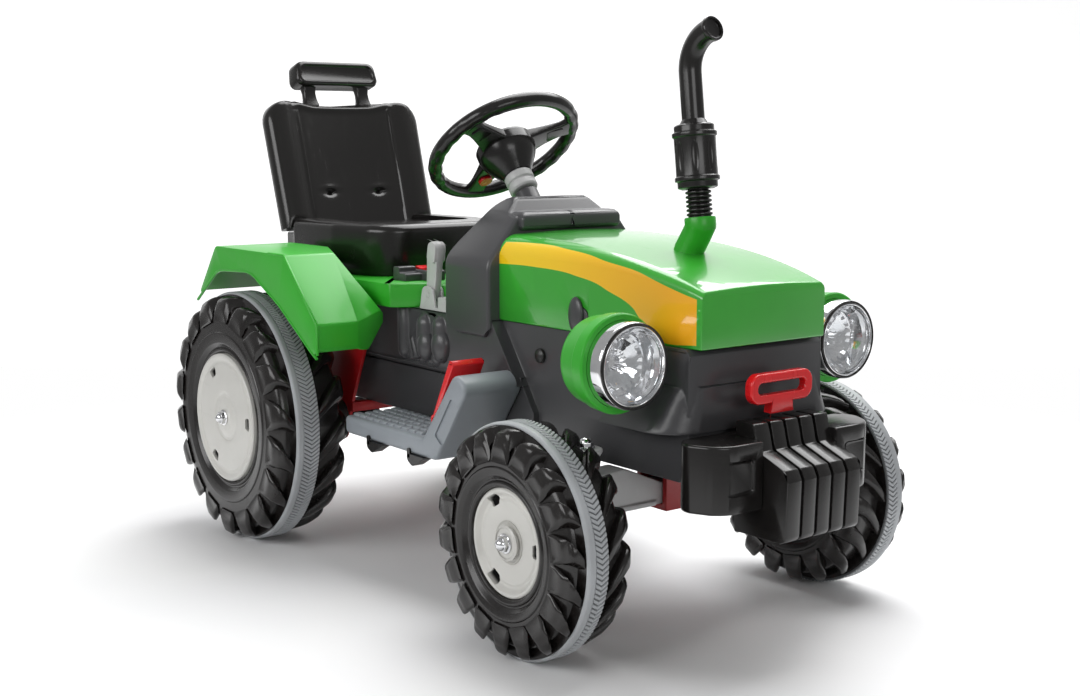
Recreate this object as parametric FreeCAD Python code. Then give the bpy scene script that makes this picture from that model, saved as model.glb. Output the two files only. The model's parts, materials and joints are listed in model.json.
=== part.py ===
import FreeCAD, Part
import math
import os

# Battery ride-on tractor for a child. Millimetres; X forward, Y to the rider's left, Z up.
# Every piece is drawn with x = 0 at the rear axle and z = 0 on the floor. At the end all pieces
# move along X together, so that the origin is on the floor midway between both ends.

Vec = FreeCAD.Vector

# Walls and clearances
wall = 4.0
tyre_wall = 3.6
fit = 0.3
seat_fit = 0.1
run = 0.08

# Wheels
wheelbase = 681.0
axle_radius = 6.0
rear_wheel_radius = 190.0
rear_wheel_y = 254.0
rear_tyre_width = 118.0
rear_rim_radius = 98.0
rear_band_width = 38.0
rear_hub_face = 57.0
rear_hub_inside = 67.0
rear_lugs = 18
front_wheel_radius = 142.0
front_wheel_y = 240.0
front_tyre_width = 96.0
front_rim_radius = 66.0
front_band_width = 31.0
front_hub_face = 39.0
front_hub_inside = 67.0
front_lugs = 18
band_thickness = 4.0
lug_height = 13.0
lug_slant = 30.0

# Reach of the toy ahead of the front axle and behind the rear axle
front_overhang = 241.0
rear_reach = 235.0

# Heights of the main levels
rail_bottom = 197.0
body_floor = 212.0
sill = 370.0
deck_height = 34.0
cushion_height = 78.0
ledge_height = 54.0

# Frame
rail_inner = 38.0
rail_outer = 50.0
plate_gap = 15.0
plate_thickness = 6.0
frame_rear = -42.0
motor_x = 70.0
motor_z = 178.0
motor_radius = 18.0
hitch_bore_radius = 6.5
hitch_bore_back = 20.0
tongue_thickness = 8.0
bracket_half = 28.0
bracket_wall = 8.0

# Body
engine_half = 131.0
engine_undercut = 9.0
engine_height = 82.0
engine_front = 507.0
nose_half = 112.0
nose_start = 430.0
nose_ahead = 131.0
flare_half = 146.0
flare_ahead = 137.0
flare_drop_low = 98.0
flare_drop_high = 45.0

# Hood
hood_ahead = 142.0
hood_rear_half = 118.0
hood_mid_half = 115.0
hood_front_half = 104.0
hood_rear_rise = 114.0
hood_mid_rise = 104.0
hood_front_rise = 67.0
hood_crown = 3.0
notch_behind = 61.0
notch_height = 32.0
notch_half = 13.0

# Dash
dash_rear = 346.0
dash_front = 450.0
dash_margin = 6.0
dash_skirt = 24.0
dash_height = 161.0
dash_lip_low = 118.0
dash_lip_high = 143.0
dash_lip_half = 86.0
dash_lip_reach = 10.0

# Steering, along the leaning column
column_x = 300.4
column_rise = 228.6
column_lean = 38.6
steer_rim_radius = 106.0
steer_grip_radius = 10.6
steer_hub_radius = 44.0
collar_top = -52.0
collar_bottom = -80.0
collar_radius = 21.0
tube_radius = 17.0
bush_radius = 12.0
crank_radius = 30.0
crank_rise = 16.0
crank_pin_radius = 4.0
crank_pin_below = 9.0
tie_z = 150.0
tie_thickness = 6.0
button_offset = -68.0
button_radius = 8.0
button_travel = 3.0

# Front axle
kingpin_y = 158.0
sleeve_radius = 14.0
sleeve_bottom = 157.0
sleeve_top = 240.0
beam_half_x = 18.0
beam_centre_top = 184.0

# Seat
seat_front = 160.0
seat_rear = -100.0
seat_half = 138.0
seat_margin = 23.0
seat_ledge_rear = -142.0
back_margin = 7.0
back_height = 210.0
back_thickness = 16.0
bolster_depth = 20.0
bolster_width = 42.0
back_lean = 16.8
headrest_half = 79.0
headrest_height = 46.0
headrest_gap = 32.0
post_y = 48.0

# Deck and fenders
deck_rear = -150.0
deck_front = 336.0
deck_margin = 9.0
deck_front_half = 112.0
fender_outer = 290.0
fender_over_wheel = 67.0
fender_front = 259.0
fender_rear = -130.0

# Footrests
step_rear = 200.0
step_behind = 276.0
step_top = 213.0
step_bottom = 187.0
step_outer = 215.0
stop_run = 78.0
stop_rise = 100.0
stop_thick_x = 29.0
stop_thick_z = 20.0
stop_foot_run = 32.0
pad_pitch = 18.5
pedal_inner = 148.0
pedal_outer = 200.0
pedal_length = 92.0
pedal_pin_radius = 3.0
pedal_open = 9.0

# Bumper, weights and tow handle
bumper_half = 147.0
bumper_depth = 66.0
bumper_bottom = 190.0
bumper_top = 270.0
weight_half = 62.0
weight_seat = 20.0
weight_top = 292.0
weight_bottom = 164.0
weight_plates = 5
weight_groove = 4.0
handle_half = 52.0
handle_rise = 12.0
handle_height = 36.0
handle_depth = 12.0

# Headlights
lamp_y = 180.5
lamp_below = 14.0
lamp_over_tyre = 10.0
lamp_ahead = 116.0
lamp_radius = 50.6
lamp_bell_radius = 58.5
lens_radius = 45.2

# Exhaust
stack_lean = 6.9
stack_ahead = 34.0
stack_rise = 135.0
elbow_radius = 19.3
bellows_radius = 16.2
bellows_ribs = 6
bellows_pitch = 5.4
muffler_radius = 26.0
muffler_height = 80.0
pipe_radius = 14.3
stack_bend_radius = 46.0

# Lever, switch, cap and battery
lever_x = 294.0
lever_rise = 20.0
lever_half = 5.0
lever_pin_radius = 4.0
switch_x = 214.0
switch_y = -80.0
switch_rise = 12.0
switch_pin_radius = 2.5
cap_x = 534.0
cap_below = 39.0
battery_length = 151.0
battery_width = 65.0
battery_height = 94.0
battery_x = 180.0

# Derived values
deck_top = sill + deck_height
seat_top = deck_top + cushion_height
seat_ledge_top = deck_top + ledge_height
plate_inner = engine_half + plate_gap
plate_outer = plate_inner + plate_thickness
deck_rear_half = max(plate_outer + deck_margin, seat_half + seat_margin)
fender_inner = deck_rear_half
fender_top = 2.0 * rear_wheel_radius + fender_over_wheel
back_half = seat_half + back_margin
hitch_bore_x = hitch_bore_back - rear_reach
engine_low_half = engine_half - engine_undercut
engine_step_z = sill - engine_height
nose_front = wheelbase + nose_ahead
flare_front = wheelbase + flare_ahead
flare_low = sill - flare_drop_low
flare_high = sill - flare_drop_high
hood_rear = dash_front - 4.0
hood_front = wheelbase + hood_ahead
notch_x = wheelbase - notch_behind
notch_top = sill + notch_height
dash_half = engine_half + dash_margin
dash_bottom = sill - dash_skirt
dash_top = sill + dash_height
column_z = sill + column_rise
step_front = wheelbase - step_behind
stop_top_rear_x = step_front + stop_run
stop_top_z = step_top + stop_rise
stop_front_x = stop_top_rear_x + stop_thick_x
stop_front_z = stop_top_z - stop_thick_z
stop_foot_x = step_front + stop_foot_run
front_reach = wheelbase + front_overhang
bumper_front = flare_front + bumper_depth
weight_back = flare_front + weight_seat
handle_x = weight_back + 9.0
handle_low = weight_top + handle_rise
handle_high = handle_low + handle_height
lamp_z = max(sill - lamp_below, 2.0 * front_wheel_radius + lamp_bell_radius + lamp_over_tyre)
lamp_face = wheelbase + lamp_ahead
stack_foot_x = wheelbase + stack_ahead
stack_foot_z = sill + stack_rise
muffler_low = 11.2 + bellows_ribs * bellows_pitch
lever_z = sill + lever_rise
lever_y = 0.5 * (engine_half + deck_front_half + 0.5)
switch_pivot_z = deck_top + switch_rise
cap_z = sill - cap_below
origin_x = (front_reach - rear_reach) / 2.0
lean = math.radians(column_lean)
crank_depth = (column_z - crank_radius * math.sin(lean) - tie_z) / math.cos(lean)
tie_x = column_x + crank_depth * math.sin(lean) - crank_radius * math.cos(lean)
steer_arm = wheelbase - tie_x
rod_bottom = -(crank_depth - crank_rise)
sizes_rear = {"x": 0.0, "y": rear_wheel_y, "radius": rear_wheel_radius, "width": rear_tyre_width,
              "rim": rear_rim_radius, "band": rear_band_width, "face": rear_hub_face,
              "lugs": rear_lugs, "inside": rear_hub_inside}
sizes_front = {"x": wheelbase, "y": front_wheel_y, "radius": front_wheel_radius,
               "width": front_tyre_width, "rim": front_rim_radius, "band": front_band_width,
               "face": front_hub_face, "lugs": front_lugs, "inside": front_hub_inside}


def corner_wire(points, place):
    """Closed wire through corners (a, b) or (a, b, radius); place gives the point in space."""
    corners = [(p[0], p[1], p[2] if len(p) > 2 else 0.0) for p in points]
    ends = []
    for i, (a, b, radius) in enumerate(corners):
        before = corners[i - 1]
        after = corners[(i + 1) % len(corners)]
        back = (before[0] - a, before[1] - b)
        ahead = (after[0] - a, after[1] - b)
        back_length = math.hypot(*back)
        ahead_length = math.hypot(*ahead)
        back = (back[0] / back_length, back[1] / back_length)
        ahead = (ahead[0] / ahead_length, ahead[1] / ahead_length)
        half = math.acos(max(-1.0, min(1.0, back[0] * ahead[0] + back[1] * ahead[1]))) / 2.0
        if radius <= 0.0 or half > 1.56:
            ends.append(((a, b), None, (a, b)))
            continue
        reach = min(radius / math.tan(half), 0.49 * back_length, 0.49 * ahead_length)
        rounding = reach * math.tan(half)
        middle = (back[0] + ahead[0], back[1] + ahead[1])
        middle_length = math.hypot(*middle)
        depth = rounding / math.sin(half) - rounding
        crest = (a + middle[0] / middle_length * depth, b + middle[1] / middle_length * depth)
        first = (a + back[0] * reach, b + back[1] * reach)
        last = (a + ahead[0] * reach, b + ahead[1] * reach)
        ends.append((first, crest, last))
    edges = []
    for i, (first, crest, last) in enumerate(ends):
        if crest:
            edges.append(Part.Arc(place(*first), place(*crest), place(*last)).toShape())
        following = ends[(i + 1) % len(ends)][0]
        if math.hypot(following[0] - last[0], following[1] - last[1]) > 1e-6:
            edges.append(Part.LineSegment(place(*last), place(*following)).toShape())
    return Part.Wire(edges)


def slab_y(points, low, high):
    """Solid between two Y values from an (x, z) outline."""
    face = Part.Face(corner_wire(points, lambda a, b: Vec(a, low, b)))
    return face.extrude(Vec(0, high - low, 0))


def slab_z(points, low, high):
    """Solid between two Z values from an (x, y) outline."""
    face = Part.Face(corner_wire(points, lambda a, b: Vec(a, b, low)))
    return face.extrude(Vec(0, 0, high - low))


def slab_x(points, low, high):
    """Solid between two X values from a (y, z) outline."""
    face = Part.Face(corner_wire(points, lambda a, b: Vec(low, a, b)))
    return face.extrude(Vec(high - low, 0, 0))


def block(x0, x1, y0, y1, z0, z1):
    return Part.makeBox(x1 - x0, y1 - y0, z1 - z0, Vec(x0, y0, z0))


def rod(radius, start, end):
    """Round bar between two points."""
    direction = end.sub(start)
    return Part.makeCylinder(radius, direction.Length, start, direction)


def turned_y(points, centre):
    """Solid turned about the Y line through centre, from (y, radius) corners."""
    face = Part.Face(corner_wire(points, lambda a, b: Vec(b, a, 0)))
    solid = face.revolve(Vec(0, 0, 0), Vec(0, 1, 0), 360)
    solid.translate(centre)
    return solid


def turned_x(points, centre):
    """Solid turned about the X line through centre, from (x, radius) corners."""
    face = Part.Face(corner_wire(points, lambda a, b: Vec(a, b, 0)))
    solid = face.revolve(Vec(0, 0, 0), Vec(1, 0, 0), 360)
    solid.translate(centre)
    return solid


def turned_z(points):
    """Solid turned about the Z axis, from (radius, z) corners."""
    face = Part.Face(corner_wire(points, lambda a, b: Vec(a, 0, b)))
    return face.revolve(Vec(0, 0, 0), Vec(0, 0, 1), 360)


def join(first, others):
    return first.fuse(others).removeSplitter()


def mirrored(shape):
    """The same piece for the other side of the toy."""
    return shape.mirror(Vec(0, 0, 0), Vec(0, 1, 0))


def both_sides(shape):
    return [shape, mirrored(shape)]


def inward_column(shape):
    """Places a piece drawn about the Z axis, wheel plane at z = 0, on the leaning column."""
    placed = shape.copy()
    placed.rotate(Vec(0, 0, 0), Vec(0, 1, 0), -column_lean)
    placed.translate(Vec(column_x, 0, column_z))
    return placed


def acorn_nut(centre, direction, bore_radius):
    """Domed nut with washer; centre lies on the face that it sits on."""
    washer = Part.makeCylinder(12.0, 1.6, Vec(0, 0, 0))
    corners = [Vec(10.0 * math.cos(math.radians(60 * i)), 10.0 * math.sin(math.radians(60 * i)), 1.6)
               for i in range(7)]
    hexagon = Part.Face(Part.makePolygon(corners)).extrude(Vec(0, 0, 5.4))
    dome = Part.makeSphere(8.2, Vec(0, 0, 5.2)).common(Part.makeCylinder(8.3, 20.0, Vec(0, 0, 5.0)))
    nut = join(washer, [hexagon, dome])
    nut = nut.cut(Part.makeCylinder(bore_radius, 8.0, Vec(0, 0, -0.5)))
    turn = FreeCAD.Rotation(Vec(0, 0, 1), direction)
    nut.Placement = FreeCAD.Placement(centre, turn)
    return nut


# Wheels, drawn for the left side

def carcass(w):
    """Hollow tyre body, open towards the hub, with a raised land for the band."""
    half = w["width"] / 2.0
    rim = w["rim"]
    land = w["radius"] - band_thickness
    base = land - lug_height
    edge = w["band"] / 2.0
    outer = [(half - 7, rim), (half, rim + 9, 6), (half, base - 25, 20), (half - 12, base - 1, 14),
             (edge + 2, base), (edge, land)]
    inner = [(half - 12 - tyre_wall, rim), (half - tyre_wall, rim + 15, 8),
             (half - tyre_wall, base - 27, 16), (half - 12 - tyre_wall, base - 2 - tyre_wall, 10)]

    def negated(corners):
        return [(-c[0],) + tuple(c[1:]) for c in corners]

    outline = outer + negated(outer[::-1]) + negated(inner) + inner[::-1]
    return turned_y(outline, Vec(0, 0, 0))


def lug(w, angle, hand):
    """Slanted tread bar from the band to the side wall."""
    half = w["width"] / 2.0
    land = w["radius"] - band_thickness
    base = land - lug_height
    edge = w["band"] / 2.0
    pitch = 2.0 * math.pi * w["radius"] / w["lugs"]
    stations = [(edge - 0.3, land + 1.5, base - 4.0, 0.25 * pitch, 1.0),
                (edge + 0.5 * (half - edge), land + 1.0, base - 4.0, 0.33 * pitch, 0.45),
                (half - 3.0, base + 3.0, base - 16.0, 0.45 * pitch, 0.05),
                (half + 2.0, base - 12.0, base - 36.0, 0.43 * pitch, 0.0)]
    wires = []
    for axial, top, bottom, width, along in stations:
        middle = angle - along * lug_slant / base
        corners = []
        for radius, share in ((bottom, -0.5), (top, -0.36), (top, 0.36), (bottom, 0.5)):
            turn = middle + share * width / radius
            corners.append(Vec(radius * math.cos(turn), hand * axial, radius * math.sin(turn)))
        wires.append(Part.makePolygon(corners + corners[:1]))
    return Part.makeLoft(wires, True, True)


def tyre(w):
    pitch = 2.0 * math.pi / w["lugs"]
    bars = []
    for i in range(w["lugs"]):
        bars.append(lug(w, i * pitch, 1))
        bars.append(lug(w, (i + 0.5) * pitch, -1))
    whole = carcass(w).fuse(bars)
    whole.translate(Vec(w["x"], w["y"], w["radius"]))
    return whole


def band(w):
    """Smooth running band round the middle of the tread."""
    edge = w["band"] / 2.0 - 0.5
    land = w["radius"] - band_thickness + seat_fit
    outline = [(-edge, land), (-edge, w["radius"] - 1.2, 1), (-edge + 3, w["radius"], 2),
               (edge - 3, w["radius"], 2), (edge, w["radius"] - 1.2, 1), (edge, land)]
    ring = turned_y(outline, Vec(0, 0, 0))
    ring = ring.cut(Part.makeCylinder(land, w["width"], Vec(0, -w["width"] / 2, 0), Vec(0, 1, 0)))
    ring.translate(Vec(w["x"], w["y"], w["radius"]))
    return ring


def hub(w):
    """Dished disc with barrel, bored boss, ribs behind and three windows."""
    rim = w["rim"] - seat_fit
    face = w["face"]
    barrel_end = -(w["width"] / 2.0 - 9)
    boss = 17.0
    bore = axle_radius + run
    outline = [(barrel_end, rim), (face - 1.5, rim, 1), (face, rim - 2, 1), (face, rim - 6, 2),
               (face - 6, rim - 11, 4), (face - 6, boss + 14, 6), (face - 1, boss + 3, 4),
               (face - 1, bore), (-w["inside"], bore), (-w["inside"], boss - 4), (face - 12, boss),
               (face - 10, rim - 11, 5), (face - 14, rim - 4, 4), (barrel_end, rim - 4)]
    solid = turned_y(outline, Vec(0, 0, 0))
    ribs = []
    for i in range(6):
        rib = block(boss - 3, rim - 2, face - 34, face - 9, -1.6, 1.6)
        rib.rotate(Vec(0, 0, 0), Vec(0, 1, 0), 60 * i + 30)
        ribs.append(rib)
    solid = join(solid, ribs)
    middle = (rim - 11 + boss + 14) / 2.0 + 0.16 * rim
    for i in range(3):
        window = slab_y([(middle - 7, -7, 3), (middle + 6, -11, 3), (middle + 6, 11, 3),
                         (middle - 7, 7, 3)], face - 20, face + 5)
        window.rotate(Vec(0, 0, 0), Vec(0, 1, 0), 120 * i)
        solid = solid.cut(window)
    solid.translate(Vec(w["x"], w["y"], w["radius"]))
    return solid


# Frame

def side_plate():
    """Left side plate that carries the rear axle and the gearmotor."""
    high = deck_top - wall
    outline = [(frame_rear, rear_wheel_radius - 38, 26), (frame_rear, rear_wheel_radius + 42, 30), (70, high),
               (166, high), (152, high - 100, 60), (114, rear_wheel_radius + 28, 60),
               (90, rear_wheel_radius - 40, 16)]
    plate = slab_y(outline, plate_inner, plate_outer)
    axle_hole = rod(axle_radius + fit, Vec(0, 100, rear_wheel_radius), Vec(0, 200, rear_wheel_radius))
    motor_hole = rod(motor_radius + 1, Vec(motor_x, 100, motor_z), Vec(motor_x, 200, motor_z))
    return plate.cut(axle_hole).cut(motor_hole)


def chassis_frame():
    rails = both_sides(block(frame_rear, flare_front, rail_inner, rail_outer, rail_bottom, body_floor))
    cross = [block(x, x + 15, -plate_outer, plate_outer, rail_bottom, body_floor)
             for x in (frame_rear, 100)]
    tongue = slab_z([(-rear_reach, -26, 22), (frame_rear, -26), (frame_rear, 26), (-rear_reach, 26, 22)],
                    rail_bottom, rail_bottom + tongue_thickness)
    plates = both_sides(side_plate())
    low = sleeve_bottom - bracket_wall
    bracket_rear = wheelbase - bracket_half
    bracket_front = wheelbase + bracket_half
    clamp = block(bracket_rear, bracket_front, -rail_outer, rail_outer, low, body_floor)
    window = [(-30, beam_centre_top), (30, beam_centre_top), (rail_outer + 1, beam_centre_top + 8),
              (rail_outer + 1, sleeve_bottom), (-rail_outer - 1, sleeve_bottom),
              (-rail_outer - 1, beam_centre_top + 8)]
    clamp = clamp.cut(slab_x(window, bracket_rear + bracket_wall, bracket_front - bracket_wall))
    rise = (column_z - 0.5 * (rail_bottom + body_floor)) / math.cos(lean)
    bearing = inward_column(Part.makeCylinder(14.0, 26.0, Vec(0, 0, -rise - 13)))
    bridge_x = column_x + rise * math.sin(lean)
    bridge = block(bridge_x - 15, bridge_x + 15, -rail_inner - 1, rail_inner + 1, rail_bottom,
                   body_floor)
    frame = join(rails[0], rails[1:] + cross + [tongue] + plates + [clamp, bridge, bearing])
    rod_bore = Part.makeCylinder(axle_radius + run, 80, Vec(0, 0, -rise - 40))
    frame = frame.cut(inward_column(rod_bore))
    bore = Part.makeCylinder(hitch_bore_radius, 100, Vec(hitch_bore_x, 0, rail_bottom - 40))
    return frame.cut(bore)


def body_shape(inset):
    """Hull without relief; inset 0 gives the outside, the wall thickness gives the hollow."""
    floor = body_floor - 20 * (inset > 0)
    top = sill - inset
    rear = -75 + inset
    step = engine_step_z - inset
    middle = 0.5 * (body_floor + engine_step_z)
    low_front = engine_front + 23 - inset
    high_front = engine_front - inset
    upper = slab_y([(rear, step), (rear, top), (high_front - 59, top), (high_front, step)],
                   -engine_half + inset, engine_half - inset)
    lower = slab_y([(rear, middle), (-45 + inset, floor), (low_front, floor), (low_front, middle + 5),
                    (engine_front - 7 - inset, step + 10), (rear, step + 10)],
                   -engine_low_half + inset, engine_low_half - inset)
    nose = slab_y([(nose_start, floor), (nose_front - 14 - inset, floor), (nose_front - inset, middle + 12),
                   (nose_front - inset, top - 8, 6), (nose_front - inset - 6, top, 6), (nose_start, top)],
                  -nose_half + inset, nose_half - inset)
    flare_rear = wheelbase + 9 + inset

    def ring(half, front, corner, z):
        outline = [(flare_rear, -half + inset), (front - inset, -half + inset, corner),
                   (front - inset, half - inset, corner), (flare_rear, half - inset)]
        return corner_wire(outline, lambda a, b: Vec(a, b, z))

    low = ring(flare_half, flare_front, 48, flare_low + inset)
    high = ring(nose_half + 3, nose_front + 2, 26, flare_high - inset)
    flare = Part.makeLoft([low, high], True, True)
    return upper.fuse([lower, nose, flare])


def engine_relief():
    """Moulded engine shapes on the left side of the hull."""
    shapes = []
    low = engine_step_z
    for x in (286.0, 326.0):
        top = Vec(x, engine_half - 6, low + 60)
        bottom = Vec(x, engine_half - 6, low + 30)
        shapes += [rod(17, bottom, top), Part.makeSphere(17, top), Part.makeSphere(17, bottom)]
    pillar_foot = Vec(232, engine_half - 4, low + 18)
    pillar_head = Vec(232, engine_half - 4, sill - 2)
    shapes += [rod(13, pillar_foot, pillar_head), Part.makeSphere(13, pillar_foot)]
    for i in range(5):
        x = 240.0 + 12.0 * i
        shapes.append(rod(3.2, Vec(x, engine_half - 0.5, low + 38), Vec(x + 12, engine_half - 0.5, low + 6)))
    elbow = Vec(318, engine_half - 5, low + 15)
    shapes += [Part.makeSphere(13, elbow), rod(9, elbow, Vec(334, engine_half - 5, low + 26))]
    relief = join(shapes[0], shapes[1:])
    keep = block(150, 460, engine_half - 8, engine_half + 12, low + 0.5, sill)
    return relief.common(keep)


def body_shell():
    shell = body_shape(0.0).cut(body_shape(wall)).removeSplitter()
    rear = notch_x - notch_half
    front = notch_x + notch_half
    rounding = notch_half - 0.2
    arch = [(rear, notch_top, rounding), (front, notch_top, rounding)]
    tab = slab_y([(rear, sill - wall)] + arch + [(front, sill - wall)], nose_half - wall - 1, nose_half)
    pad = slab_y([(rear, sill + 0.5)] + arch + [(front, sill + 0.5)], nose_half - 1, hood_mid_half + 1.5)
    shell = join(shell, both_sides(engine_relief()) + both_sides(tab.fuse(pad)))
    rod_hole = inward_column(Part.makeCylinder(axle_radius + 6, 120, Vec(0, 0, -350)))
    return shell.cut(rod_hole)


def hood_shape(inset):
    """Hood body lofted through five cross sections, each with rounded shoulders and a slight crown."""
    mid = hood_front - 173.0
    stations = [(hood_rear - 30 * (inset > 0), hood_rear_half, hood_rear_rise, 30.0),
                (0.5 * (hood_rear + mid), hood_rear_half - 1.0, hood_rear_rise - 2.5, 26.0),
                (mid, hood_mid_half, hood_mid_rise, 20.0),
                (hood_front - 83.0, hood_mid_half - 4.5, hood_mid_rise - 14.0, 15.0),
                (hood_front - inset, hood_front_half, hood_front_rise, 10.0)]
    wires = []
    for x, half, rise, corner in stations:
        foot = sill - 10 * (inset > 0)
        h = half - inset
        top = sill + rise - inset
        r = corner - inset
        bend = r * (1.0 - math.sqrt(0.5))
        low_right = Vec(x, -h, foot)
        low_left = Vec(x, h, foot)
        wall_right = Vec(x, -h, top - r)
        wall_left = Vec(x, h, top - r)
        top_right = Vec(x, r - h, top)
        top_left = Vec(x, h - r, top)
        edges = [Part.LineSegment(low_right, wall_right).toShape(),
                 Part.Arc(wall_right, Vec(x, bend - h, top - bend), top_right).toShape(),
                 Part.Arc(top_right, Vec(x, 0, top + hood_crown), top_left).toShape(),
                 Part.Arc(top_left, Vec(x, h - bend, top - bend), wall_left).toShape(),
                 Part.LineSegment(wall_left, low_left).toShape(),
                 Part.LineSegment(low_left, low_right).toShape()]
        wires.append(Part.Wire(edges))
    return Part.makeLoft(wires, True, False)


def hood():
    shell = hood_shape(0.0).cut(hood_shape(wall))
    gap = notch_half + fit
    notch = slab_y([(notch_x - gap, sill - 5), (notch_x - gap, notch_top + fit, notch_half),
                    (notch_x + gap, notch_top + fit, notch_half), (notch_x + gap, sill - 5)], -200, 200)
    return shell.cut(notch)


def dash_shape(inset):
    """Saddle over the rear of the hood: side outline met with the front outline."""
    low = dash_bottom - 30 * (inset > 0)
    front = dash_front + 20 * (inset > 0)
    top = dash_top - inset
    lip = sill + dash_lip_high - 2 - inset
    half = dash_half - inset
    rear = dash_rear + inset
    side = slab_y([(rear, low), (rear, dash_top - 69, 40), (dash_rear + 38, top, 34),
                   (dash_front - 36, top, 12), (dash_front - 24, lip, 8), (front, lip - 4, 6), (front, low)],
                  -half, half)
    shoulder = dash_top - 26 - inset
    arch = slab_x([(-half, low), (-half, shoulder, 46), (-62, top, 60), (62, top, 60), (half, shoulder, 46),
                   (half, low)], dash_rear - 50, dash_front + 50)
    return side.common(arch)


def dash_lip():
    """Rounded bar across the front of the saddle, just above the hood."""
    low = sill + dash_lip_low
    high = sill + dash_lip_high
    rear = dash_front - 30
    front = dash_front + dash_lip_reach
    half = dash_lip_half
    bar = slab_y([(rear, low), (rear, high - 6), (rear + 12, high, 8), (front, high - 1, 9),
                  (front, low + 3, 5), (front - 6, low)], -half, half)
    ends = slab_x([(-half, low, 6), (-half, high, 11), (half, high, 11), (half, low, 6)], rear, front)
    return bar.common(ends)


def dash_console():
    shell = dash_shape(0.0)
    side_foot = slab_y([(dash_rear - 1, dash_bottom - 1), (dash_rear - 1, dash_bottom + 22),
                        (dash_rear + 34, dash_bottom - 1)], -200, 200)
    front_foot = slab_y([(dash_front + 1, dash_bottom - 1), (dash_front + 1, dash_bottom + 14),
                         (dash_front - 14, dash_bottom - 1)], -200, 200)
    tube = inward_column(Part.makeCylinder(tube_radius, 62, Vec(0, 0, collar_bottom - 65)))
    front_wall = block(dash_front - 36, dash_front + 50, -200, 200, sill + dash_lip_low, dash_top + 10)
    hollow = dash_shape(wall + 1.5).cut(front_wall)
    shell = shell.fuse(tube).cut(hollow).cut(side_foot).cut(front_foot)
    shell = join(shell, [dash_lip()])
    inner_tube = inward_column(Part.makeCylinder(tube_radius, 58, Vec(0, 0, collar_bottom - 61)))
    shell = join(shell, [inner_tube])
    room_half = engine_half + seat_fit
    deck_room = block(dash_rear - 5, dash_front, -room_half, room_half, dash_bottom - 5, sill)
    bore = inward_column(Part.makeCylinder(bush_radius + 0.05, 90, Vec(0, 0, collar_bottom - 80)))
    return shell.cut(deck_room).cut(bore)


def steering_bush():
    ring = Part.makeCylinder(bush_radius, 40, Vec(0, 0, collar_bottom - 48))
    bore = Part.makeCylinder(axle_radius + run, 60, Vec(0, 0, collar_bottom - 58))
    return inward_column(ring.cut(bore))


def rear_deck():
    def plan(inset):
        return [(deck_rear + inset, -deck_rear_half + inset, 12), (240, -deck_rear_half + inset, 6),
                (270 - 0.5 * inset, -deck_front_half + inset, 6),
                (deck_front - inset, -deck_front_half + inset, 4),
                (deck_front - inset, deck_front_half - inset, 4),
                (270 - 0.5 * inset, deck_front_half - inset, 6), (240, deck_rear_half - inset, 6),
                (deck_rear + inset, deck_rear_half - inset, 12)]

    shell = slab_z(plan(0.0), sill, deck_top)
    return shell.cut(slab_z(plan(wall), sill - 1, deck_top - wall))


def fender_right():
    """Mudguard with a slanted front, open below; drawn for the right side."""
    high = fender_top
    front = fender_front
    rear = fender_rear
    top = [(rear, high - 91, 4), (rear + 74, high, 12), (front - 91, high, 10), (front, high - 91, 8),
           (front, high - 141, 12)]
    arch = [(front - 23, high - 129, 20), (front - 109, high - 75, 60), (60, high - 33, 80),
            (-50, high - 38, 60)]
    side = slab_y(top + arch, -fender_outer, -fender_inner)
    skin = wall + 0.5
    hollow = slab_y([(rear + wall, high - 107), (rear + wall, high - 88.5, 3), (rear + 75.5, high - wall, 10),
                     (front - 92.5, high - wall, 8), (front - skin, high - 92, 6), (front - skin, high - 167),
                     (150, high - 197), (0, high - 197)], -fender_outer + wall, -fender_inner - wall)
    shell = side.cut(hollow)
    inner_cut = slab_y([(rear - 10, sill - 70), (rear - 10, sill), (front - 34, sill), (front + 3, sill - 18),
                        (front + 41, sill - 18), (front + 41, sill - 70)],
                       -fender_inner - wall - 1, -fender_inner + 1)
    shell = shell.cut(inner_cut)
    corner = slab_x([(-fender_inner - 53, sill - 70), (-fender_inner + 2, sill - 16),
                     (-fender_inner + 2, sill - 70)], front - 59, front + 41)
    return shell.cut(corner)


# Seat

def seat_base():
    def plan(inset, rear):
        h = seat_half - inset
        widest = h + 2 - inset * 0.1
        front = seat_front - inset
        return [(rear + inset, -h, 16), (40, -widest, 60), (front, -h + 22, 62),
                (front, h - 22, 62), (40, widest, 60), (rear + inset, h, 16)]

    cushion = slab_z(plan(0.0, seat_rear), deck_top, seat_top)
    rim = [edge for edge in cushion.Edges if abs(edge.BoundBox.ZMin - seat_top) < 0.01
           and abs(edge.BoundBox.ZMax - seat_top) < 0.01 and edge.BoundBox.XMax > seat_rear + 1]
    cushion = cushion.makeFillet(13.0, rim)
    ledge_half = seat_half - 16
    ledge = block(seat_ledge_rear, seat_rear + 20, -ledge_half, ledge_half, deck_top, seat_ledge_top)
    dish_half = seat_half - 38
    dish = slab_z([(seat_rear - 5, 8 - dish_half, 6), (90, -dish_half, 40), (90, dish_half, 40),
                   (seat_rear - 5, dish_half - 8, 6)], seat_top - 9, seat_top + 5)
    hollow = slab_z(plan(wall + 1, seat_rear), deck_top - 1, seat_top - 16)
    ledge_hollow = block(seat_ledge_rear + wall, seat_rear + 6, wall - ledge_half, ledge_half - wall,
                         deck_top - 1, seat_ledge_top - wall)
    whole = join(cushion, [ledge]).cut(dish).cut(hollow).cut(ledge_hollow)
    for side in (-1, 1):
        slot = slab_z([(64, side * 30 - 8, 3), (72, side * 30 - 8, 3), (72, side * 30 + 8, 3),
                       (64, side * 30 + 8, 3)], seat_top - 30, seat_top + 5)
        whole = whole.cut(slot)
    return whole


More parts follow.
